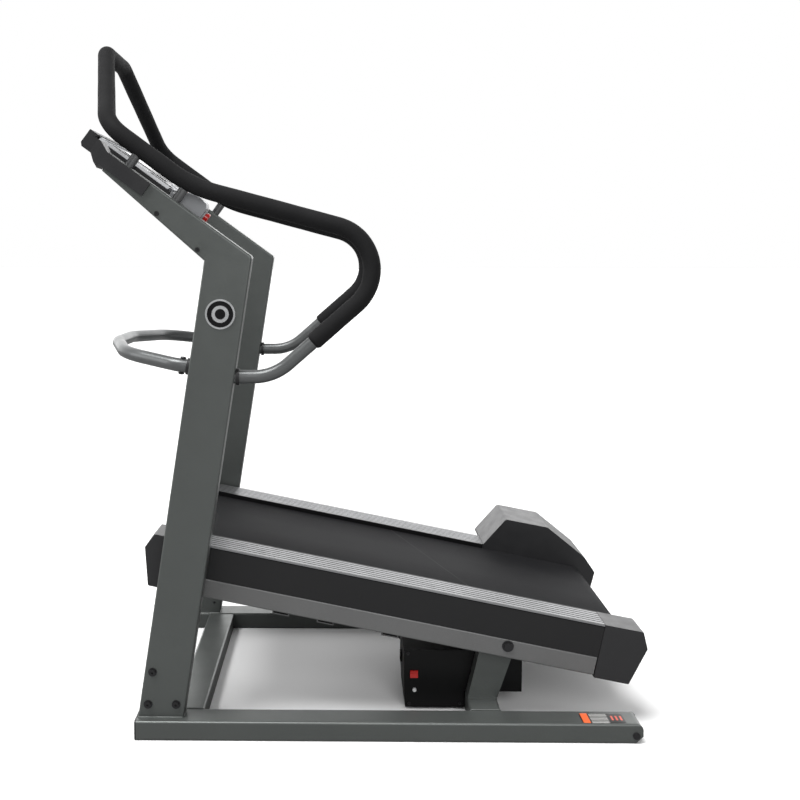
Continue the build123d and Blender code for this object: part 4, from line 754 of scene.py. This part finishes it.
class Workshop:
    """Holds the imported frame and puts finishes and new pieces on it."""

    def __init__(self, frame: dict) -> None:
        """Keep the frame and start the shared effects."""
        self.frame = frame
        self.effects = Effects()
        self.made: dict[str, bpy.types.Material] = {}

    def material(self, finish: Finish) -> bpy.types.Material:
        """Build a finish once and keep it."""
        if finish.name not in self.made:
            self.made[finish.name] = finish.material(self.effects)
        return self.made[finish.name]

    def dress(self, finish: Finish, *nodes: str) -> None:
        """Give CAD nodes a finish.

        Args:
            finish: the finish.
            nodes: the nodes' names.
        """
        for node in nodes:
            for place in self.frame["nodes"][node].material_slots:
                place.material = self.material(finish)
            log.info("dressed %s in %s", node, finish.name)

    def place(self, piece: Piece, body: str, slot: str, finish: Finish) -> Piece:
        """Finish a new piece and let it ride on a body.

        Args:
            piece: the new object.
            body: the CAD body it moves with.
            slot: the record's material slot; not used.
            finish: its finish.

        Returns:
            The piece.
        """
        piece.data.materials.append(self.material(finish))
        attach(piece, body)
        log.info("placed %s: %d faces", piece.name, len(piece.data.polygons))
        return piece


# ------------------------------------------------------------------ finishes of this machine
FRAME_POWDER = PowderCoat("frame_powder", (0.098, 0.106, 0.102), roughness=0.36, metallic=0.5, dust=0.03)
ARM_POWDER = PowderCoat("loop_bar_powder", (0.125, 0.130, 0.131), roughness=0.36, metallic=0.55, dust=0.02)
DECK_POWDER = PowderCoat("deck_powder", (0.150, 0.151, 0.151), roughness=0.42, metallic=0.4, dust=0.03)
HOUSING = Finish("housing_mould", (0.017, 0.017, 0.0185), roughness=0.38, grain=1400.0, relief=0.00006,
                 cells=0.7,
                 dust=0.02)
COVER = Finish("cover_mould", (0.0095, 0.0095, 0.0103), roughness=0.46, grain=1500.0, relief=0.00006,
               cells=0.7,
               dust=0.02, specular=0.4)
BOX_PAINT = Finish("box_paint", (0.0045, 0.0045, 0.0048), roughness=0.42, grain=1500.0, relief=0.00004,
                   dust=0.01, specular=0.25)
LIGHT_MOULD = Finish("light_mould", (0.36, 0.37, 0.385), roughness=0.34, grain=1600.0, relief=0.00003)
BORDER = Finish("fascia_mould", (0.30, 0.31, 0.325), roughness=0.30, metallic=0.35, grain=1600.0,
                relief=0.00002)
BLACK_MOULD = Finish("black_mould", (0.010, 0.010, 0.011), roughness=0.45, grain=1500.0, cells=0.6,
                     dust=0.02)
LENS = Lens("display_glass", (0.006, 0.007, 0.008), roughness=0.08, coat=0.6, dust=0.02, drift=0.02,
            relief=0.000002)
FOAM = Finish("grip_foam", (0.0105, 0.0105, 0.0112), roughness=0.78, grain=1100.0, relief=0.00022,
              cells=0.55,
              drift=0.14, dust=0.01, specular=0.2)
BELT = BeltCloth("belt_cloth", (0.013, 0.0132, 0.0148), roughness=0.80, relief=0.00010, dust=0.01,
                 specular=0.12)
RAIL = StepRail("rail_aluminium", (0.36, 0.364, 0.374), roughness=0.42, metallic=0.8, dust=0.03,
                relief=0.00002)
TURNED = Brushed("turned_steel", (0.34, 0.34, 0.35), roughness=0.28, metallic=1.0, relief=0.00001,
                 way=Direction.ROUND_AXLE)
STANDOFF = Brushed("standoff_steel", (0.16, 0.162, 0.165), roughness=0.34, metallic=0.8, relief=0.00001,
                   way=Direction.UPRIGHT)
FASTENER = PowderCoat("fastener_black", (0.04, 0.04, 0.042), roughness=0.32, metallic=0.8, flake=0.08)
BADGE = Badge("badge_metal", (0.62, 0.63, 0.64), roughness=0.28, metallic=0.85, relief=0.000006, dust=0.0)
BOARD = Finish("board_wax", (0.09, 0.07, 0.05), roughness=0.55, grain=700.0, relief=0.0001, drift=0.2)
BLOCK = Finish("block_rubber", (0.012, 0.012, 0.012), roughness=0.8, grain=900.0, relief=0.0001)
WHEEL = Finish("wheel_rubber", (0.014, 0.014, 0.015), roughness=0.62, grain=1200.0, relief=0.0001)
MOTOR = PowderCoat("motor_enamel", (0.018, 0.018, 0.020), roughness=0.35, metallic=0.3, flake=0.08)
RED = Finish("red_gloss", (0.58, 0.012, 0.010), roughness=0.20, coat=0.5, relief=0.000005, dust=0.02)
WHITE = Finish("white_gloss", (0.70, 0.71, 0.72), roughness=0.25, coat=0.3, relief=0.000005, dust=0.02)
MARK = Finish("mark_print", (0.05, 0.05, 0.055), roughness=0.5, relief=0.000005)
WELD = PowderCoat("weld_powder", (0.098, 0.106, 0.102), roughness=0.40, metallic=0.5, flake=0.2)
NOTICE = NoticeLabel("rail_notice", (0.010, 0.010, 0.010), roughness=0.35, relief=0.000005, dust=0.02,
                     low=(0.541, -0.434), high=(0.652, -0.378))


# ------------------------------------------------------------------ sub-assemblies
@dataclass
class FloorFrame:
    """Floor rails, cross beams, their welds, end plugs, transport wheels and the printed notice."""

    rail_inner: float = 0.362
    beam_height: float = 0.050
    beams: tuple[tuple[float, float], ...] = ((-0.500, -0.420), (0.267, 0.347))
    bead: float = 0.0022
    notice_low: tuple[float, float] = (0.541, -0.434)
    notice_high: tuple[float, float] = (0.652, -0.378)

    def welds(self) -> Piece:
        """Bead the upper and side edges where each beam meets each rail.

        Returns:
            All the beads as one piece.
        """
        beads = []
        for low, high in self.beams:
            for side in (-1.0, 1.0):
                outline = box_path((low, 0.0024), (high, self.beam_height), 0.006, 0.0015)
                wall = np.full(len(outline), side * self.rail_inner)
                path = np.stack([outline[:, 0], wall, outline[:, 1]], axis=1)
                beads.append(weld("bead", path, (0.0, 1.0, 0.0), self.bead))
        return joined("beam_welds", beads)

    def notice(self) -> Piece:
        """Lay the printed notice on the left rail's top: a thin pad with rounded corners.

        Returns:
            The label.
        """
        (a, b), (c, d) = self.notice_low, self.notice_high
        centre = np.array((0.5 * (a + c), 0.5 * (b + d), self.beam_height + 0.00005))
        return pillow("rail_notice", centre, np.array((0.5 * (c - a), 0, 0)), np.array((0, 0.5 * (d - b), 0)),
                      0.0004, 14.0)

    def build(self, shop: Workshop) -> None:
        """Dress the nodes and add the new pieces."""
        shop.dress(FRAME_POWDER, "base_rail_left", "base_rail_right", "base_cross_beams")
        shop.dress(BLACK_MOULD, "rail_end_plugs")
        shop.dress(WHEEL, "transport_wheel_left", "transport_wheel_right")
        shop.dress(FASTENER, "wheel_axles")
        shop.place(self.welds(), "base", "frame_paint", WELD)
        shop.place(self.notice(), "base", "black_plastic", NOTICE)


@dataclass
class Masts:
    """The two leaning masts with their foot welds, bolts and round badges."""

    foot_front: float = -0.5819
    run: float = 0.11637
    inner: float = 0.367
    outer: float = 0.417
    foot: float = 0.050
    bead: float = 0.0024

    def welds(self) -> Piece:
        """Bead round both mast feet on top of the rails.

        Returns:
            Both beads as one piece.
        """
        beads = []
        for side in (-1.0, 1.0):
            low, high = sorted((side * self.inner, side * self.outer))
            outline = box_path((self.foot_front, low), (self.foot_front + self.run, high), 0.006, 0.0015)
            path = np.column_stack((outline, np.full(len(outline), self.foot)))
            beads.append(weld("bead", path, (0.0, 0.0, 1.0), self.bead))
        return joined("mast_welds", beads)

    def build(self, shop: Workshop) -> None:
        """Dress the nodes and add the welds."""
        shop.dress(FRAME_POWDER, "mast_left", "mast_right", "mast_spigots")
        shop.dress(FASTENER, "mast_bolts")
        shop.dress(BADGE, "mast_badges")
        shop.place(self.welds(), "base", "frame_paint", WELD)


@dataclass
class Handlebar:
    """Bent handlebar tube with its foam sleeve, standoffs and sockets."""

    tube_radius: float = 0.01715
    foam_radius: float = 0.0223
    lip: float = 0.0035
    bare_share: float = 0.27
    half_width: float = 0.392
    half_top: float = 0.1114
    first: tuple[float, float] = (-0.2355, 0.918)
    rear: tuple[float, float] = (0.1278, 1.2374)
    top: tuple[float, float] = (-0.70125, 1.7584)
    radii: tuple[float, ...] = (0.112, 0.330, 0.085, 0.050)

    def corners(self) -> np.ndarray:
        """List the corner points under the foam, from the left end round the top to the right end.

        Returns:
            Points, one row each.
        """
        start = tuple(a + self.bare_share * (b - a) for a, b in zip(self.first, self.rear))
        side = [start, self.rear, on_arm(0.221, 0.0509), on_arm(0.4767, 0.0516)]
        left = [(x, -self.half_width, z) for x, z in side] + [(self.top[0], -self.half_top, self.top[1])]
        return np.array(left + [(x, -y, z) for x, y, z in reversed(left)])

    def sleeve(self) -> Piece:
        """Make the foam sleeve.

        Its section is a circle whose radius follows a rolled lip at both ends, sinks a little between
        the lips and wanders by slow waves; the skin runs out along the outside and back along the tube,
        so it is one closed ring.

        Returns:
            The sleeve.
        """
        path = rounded_path(self.corners(), np.array(self.radii + self.radii[::-1]), 0.006)
        reach = np.concatenate(([0.0], np.cumsum(np.linalg.norm(np.diff(path, axis=0), axis=1))))
        from_end = np.minimum(reach, reach[-1] - reach)
        rolled = np.sqrt(np.clip(1.0 - (1.0 - np.clip(from_end / self.lip, 0.0, 1.0)) ** 2, 0.0, 1.0))
        bulge = self.foam_radius - self.tube_radius
        waves = 0.00012 * np.sin(reach * 61.0) + 0.00010 * np.sin(reach * 23.0 + 1.0) - 0.0003
        turn = np.linspace(0.0, 2.0 * math.pi, 40, endpoint=False)[None]
        outer = (self.tube_radius + bulge * (0.35 + 0.65 * rolled) + waves * rolled)[:, None]
        outside = carried(path, outer * np.cos(turn), outer * np.sin(turn), (0.6, 0.8, 0.0))
        inner = np.full_like(outer, self.tube_radius)
        inside = carried(path, inner * np.cos(turn), inner * np.sin(turn), (0.6, 0.8, 0.0))[::-1]
        grid = np.concatenate((outside, inside[::1]))
        return skin("foam_sleeve", grid, round_first=True, round_second=True)

    def build(self, shop: Workshop) -> None:
        """Dress the nodes and put the foam on."""
        shop.dress(ARM_POWDER, "handlebar_tube")
        shop.dress(STANDOFF, "handle_standoffs")
        shop.dress(BLACK_MOULD, "handle_sockets")
        sleeve = shop.place(self.sleeve(), "base", "foam", FOAM)
        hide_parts("foam_grips")


@dataclass
class FrontLoop:
    """Bar that loops forwards from the masts."""

    def build(self, shop: Workshop) -> None:
        """Dress its nodes."""
        shop.dress(ARM_POWDER, "front_loop_bar")
        shop.dress(BLACK_MOULD, "loop_sockets")
        shop.dress(FASTENER, "loop_bolts")


@dataclass
class KeyMarks:
    """Plain raised marks on one key: bars, never letters."""

    key: str
    body: str
    across: float
    bars: tuple[tuple[float, float, float, float], ...]
    along: float = 0.292
    level: float = 0.0212

    def build(self, shop: Workshop) -> None:
        """Make each bar as a low pad on the key's face: place up the arm, place across, half sizes."""
        pads = []
        slope = np.array((-math.cos(ARM_TILT), 0.0, math.sin(ARM_TILT)))
        side = np.array((0.0, 1.0, 0.0))
        for up, over, half_up, half_over in self.bars:
            x, z = on_arm(self.along + up, self.level)
            centre = np.array((x, self.across + over, z))
            pads.append(pillow("mark", centre, side * half_over, slope * -half_up, 0.0004))
        shop.place(joined(f"{self.key}_mark", pads), self.body, "black_plastic", MARK)


@dataclass
class Console:
    """Display housing, emergency stop's pod, keys and emergency stop."""

    marks: list[KeyMarks] = field(default_factory=list)

    def build(self, shop: Workshop) -> None:
        """Dress the nodes."""
        shop.dress(HOUSING, "console_shell", "console_side_covers")
        shop.dress(LIGHT_MOULD, "e_stop_pod", "e_stop_collar")
        shop.dress(BORDER, "console_fascia")
        shop.dress(BLACK_MOULD, "console_grilles")
        shop.dress(LENS, "display_lens")
        shop.dress(FASTENER, "housing_screws")
        shop.dress(RED, "e_stop_button", "stop_button")
        shop.dress(WHITE, "start_button", "speed_rocker", "incline_rocker")
        for mark in self.marks:
            mark.build(shop)


@dataclass
class RunningDeck:
    """Tilting deck: side tubes, board, belt, rollers, foot rails and end caps."""

    def build(self, shop: Workshop) -> None:
        """Dress the nodes."""
        shop.dress(DECK_POWDER, "deck_tube_left", "deck_tube_right", "deck_cross_tubes", "lift_deck_bracket")
        shop.dress(FASTENER, "pivot_bolts")
        shop.dress(BOARD, "deck_board")
        shop.dress(BLOCK, "deck_cushions")
        shop.dress(BELT, "running_belt")
        shop.dress(TURNED, "axles_and_bearings", "front_roller", "rear_roller")
        shop.dress(COVER, "deck_side_covers")
        shop.dress(RAIL, "foot_rail_left", "foot_rail_right")
        shop.dress(HOUSING, "front_caps", "rear_cap")


@dataclass
class Drive:
    """Drive motor, ribbed belt, pulley and the hood over them."""

    def build(self, shop: Workshop) -> None:
        """Dress the nodes."""
        shop.dress(MOTOR, "drive_motor")
        shop.dress(BLOCK, "drive_belt")
        shop.dress(TURNED, "motor_pulley")
        shop.dress(HOUSING, "motor_hood")


@dataclass
class PowerBox:
    """Control box with its switch, breaker and inlet."""

    def build(self, shop: Workshop) -> None:
        """Dress the nodes."""
        shop.dress(BOX_PAINT, "control_box_shell", "control_box_panel")
        shop.dress(RED, "power_switch")
        shop.dress(WHITE, "breaker_button")


@dataclass
class Lift:
    """Incline lift between the floor frame and the deck, and the pivot posts."""

    def build(self, shop: Workshop) -> None:
        """Dress the nodes."""
        shop.dress(FRAME_POWDER, "pivot_posts", "lift_clevis")
        shop.dress(MOTOR, "lift_motor")
        shop.dress(TURNED, "lift_rod")


# ------------------------------------------------------------------ studio
@dataclass
class Studio:
    """Pale floor, soft lights and the camera."""

    place: tuple[float, float, float] = (-0.058, -2.9905, 1.2194)
    pitch: float = 4.98
    yaw: float = 0.688
    roll: float = 0.053
    lens: float = 47.33
    shift: tuple[float, float] = (0.0846, -0.0664)
    ambient: float = 0.27
    back_glow: float = 1.9
    sun: float = 3.4
    sun_spread: float = 35.0
    sun_way: tuple[float, float, float] = (0.30, 0.22, -0.93)
    floor_seen: tuple[float, ...] = (0.94, 0.94, 0.94, 1.0)
    floor_bounce: tuple[float, ...] = (0.30, 0.30, 0.30, 1.0)
    panels: tuple[tuple[str, tuple[float, float, float], float, float], ...] = (
        ("near_panel", (0.9, -4.2, 2.4), 2.0, 60.0),
        ("front_panel", (-3.6, -1.2, 2.0), 2.0, 32.0),
    )

    def floor(self) -> None:
        """Lay a wide pale floor, a flat grid that throws only a little light back up."""
        x, y = np.meshgrid(np.linspace(-60.0, 60.0, 9), np.linspace(-30.0, 90.0, 9), indexing="ij")
        ground = skin("studio_floor", np.stack([x, y, np.zeros_like(x)], axis=-1))
        paint = bpy.data.materials.new("floor_paper")
        paint.use_nodes = True
        wires = Wiring(paint.node_tree)
        shader = paint.node_tree.nodes["Principled BSDF"]
        seen = wires.put("ShaderNodeLightPath").outputs["Is Camera Ray"]
        pale = wires.blend(seen, self.floor_bounce, self.floor_seen)
        wires.tree.links.new(pale, shader.inputs["Base Color"])
        shader.inputs["Roughness"].default_value = 0.95
        shader.inputs["Specular IOR Level"].default_value = 0.0
        ground.data.materials.append(paint)

    def sky(self) -> None:
        """Surround the studio: white to the camera, and brightest low down behind for reflections."""
        world = bpy.data.worlds.new("studio")
        world.use_nodes = True
        wires = Wiring(world.node_tree)
        direction = wires.put("ShaderNodeTexCoord").outputs["Generated"]
        way = wires.put("ShaderNodeSeparateXYZ", {0: direction}).outputs
        behind = wires.span(way[1], 0.10, 0.75, 0.0, self.back_glow)
        low = wires.span(way[2], 0.25, 0.85, 1.0, 0.15)
        glow = wires.sum("MULTIPLY_ADD", behind, low, self.ambient)
        seen = wires.put("ShaderNodeLightPath").outputs["Is Camera Ray"]
        strength = wires.span(seen, 0.0, 1.0, glow, 1.0)
        background = world.node_tree.nodes["Background"]
        background.inputs["Color"].default_value = (1.0, 1.0, 1.0, 1.0)
        wires.tree.links.new(strength, background.inputs["Strength"])
        bpy.context.scene.world = world

    def lights(self) -> None:
        """Hang a wide sun for the tops and soft panels for the sides and the loop's front."""
        sun = bpy.data.lights.new("sun", "SUN")
        sun.energy = self.sun
        sun.angle = math.radians(self.sun_spread)
        hung = bpy.data.objects.new("sun", sun)
        hung.rotation_euler = Vector(self.sun_way).to_track_quat("-Z", "Y").to_euler()
        bpy.context.scene.collection.objects.link(hung)
        for name, place, size, power in self.panels:
            lamp = bpy.data.lights.new(name, "AREA")
            lamp.size = size
            lamp.energy = power
            panel = bpy.data.objects.new(name, lamp)
            panel.location = place
            aim = Vector((0.0, 0.0, 0.8)) - Vector(place)
            panel.rotation_euler = aim.to_track_quat("-Z", "Y").to_euler()
            bpy.context.scene.collection.objects.link(panel)

    def camera(self) -> None:
        """Set the camera at the side of the machine."""
        data = bpy.data.cameras.new("camera")
        data.lens = self.lens
        data.sensor_width = 36.0
        data.shift_x, data.shift_y = self.shift
        view = bpy.data.objects.new("camera", data)
        view.location = self.place
        turn = Euler((math.radians(90.0 - self.pitch), 0.0, math.radians(self.yaw)), "XYZ").to_matrix()
        view.rotation_euler = (turn @ Euler((0.0, 0.0, math.radians(self.roll))).to_matrix()).to_euler()
        bpy.context.scene.collection.objects.link(view)
        bpy.context.scene.camera = view

    def build(self) -> None:
        """Set up floor, lights and camera."""
        self.floor()
        self.sky()
        self.lights()
        self.camera()
        bpy.context.scene.view_settings.view_transform = "Standard"


def main() -> None:
    """Load the frame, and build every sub-assembly."""
    logging.basicConfig(level=logging.INFO, format="%(name)s: %(message)s")
    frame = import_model()
    shop = Workshop(frame)
    plus = ((0.0145, 0.0, 0.0008, 0.0035), (0.0145, 0.0, 0.0035, 0.0008), (-0.0145, 0.0, 0.0008, 0.0035))
    steps = ((0.0155, 0.0, 0.0007, 0.0020), (0.0130, 0.0, 0.0007, 0.0035), (-0.0145, 0.0, 0.0007, 0.0035))
    marks = [
        KeyMarks("speed_rocker", "speed_key", -0.120, plus),
        KeyMarks("incline_rocker", "incline_key", 0.120, steps),
        KeyMarks("start_button", "start_key", -0.034,
                 ((0.0, 0.0, 0.0035, 0.0009), (0.0, 0.003, 0.002, 0.0009))),
        KeyMarks("stop_button", "stop_key", 0.034, ((0.0, 0.0, 0.003, 0.003),)),
    ]
    for assembly in (FloorFrame(), Masts(), Handlebar(), FrontLoop(), Console(marks), RunningDeck(), Drive(),
                     PowerBox(), Lift()):
        assembly.build(shop)
        log.info("finished %s", type(assembly).__name__)
    Studio().build()


if __name__ == "__main__":
    main()
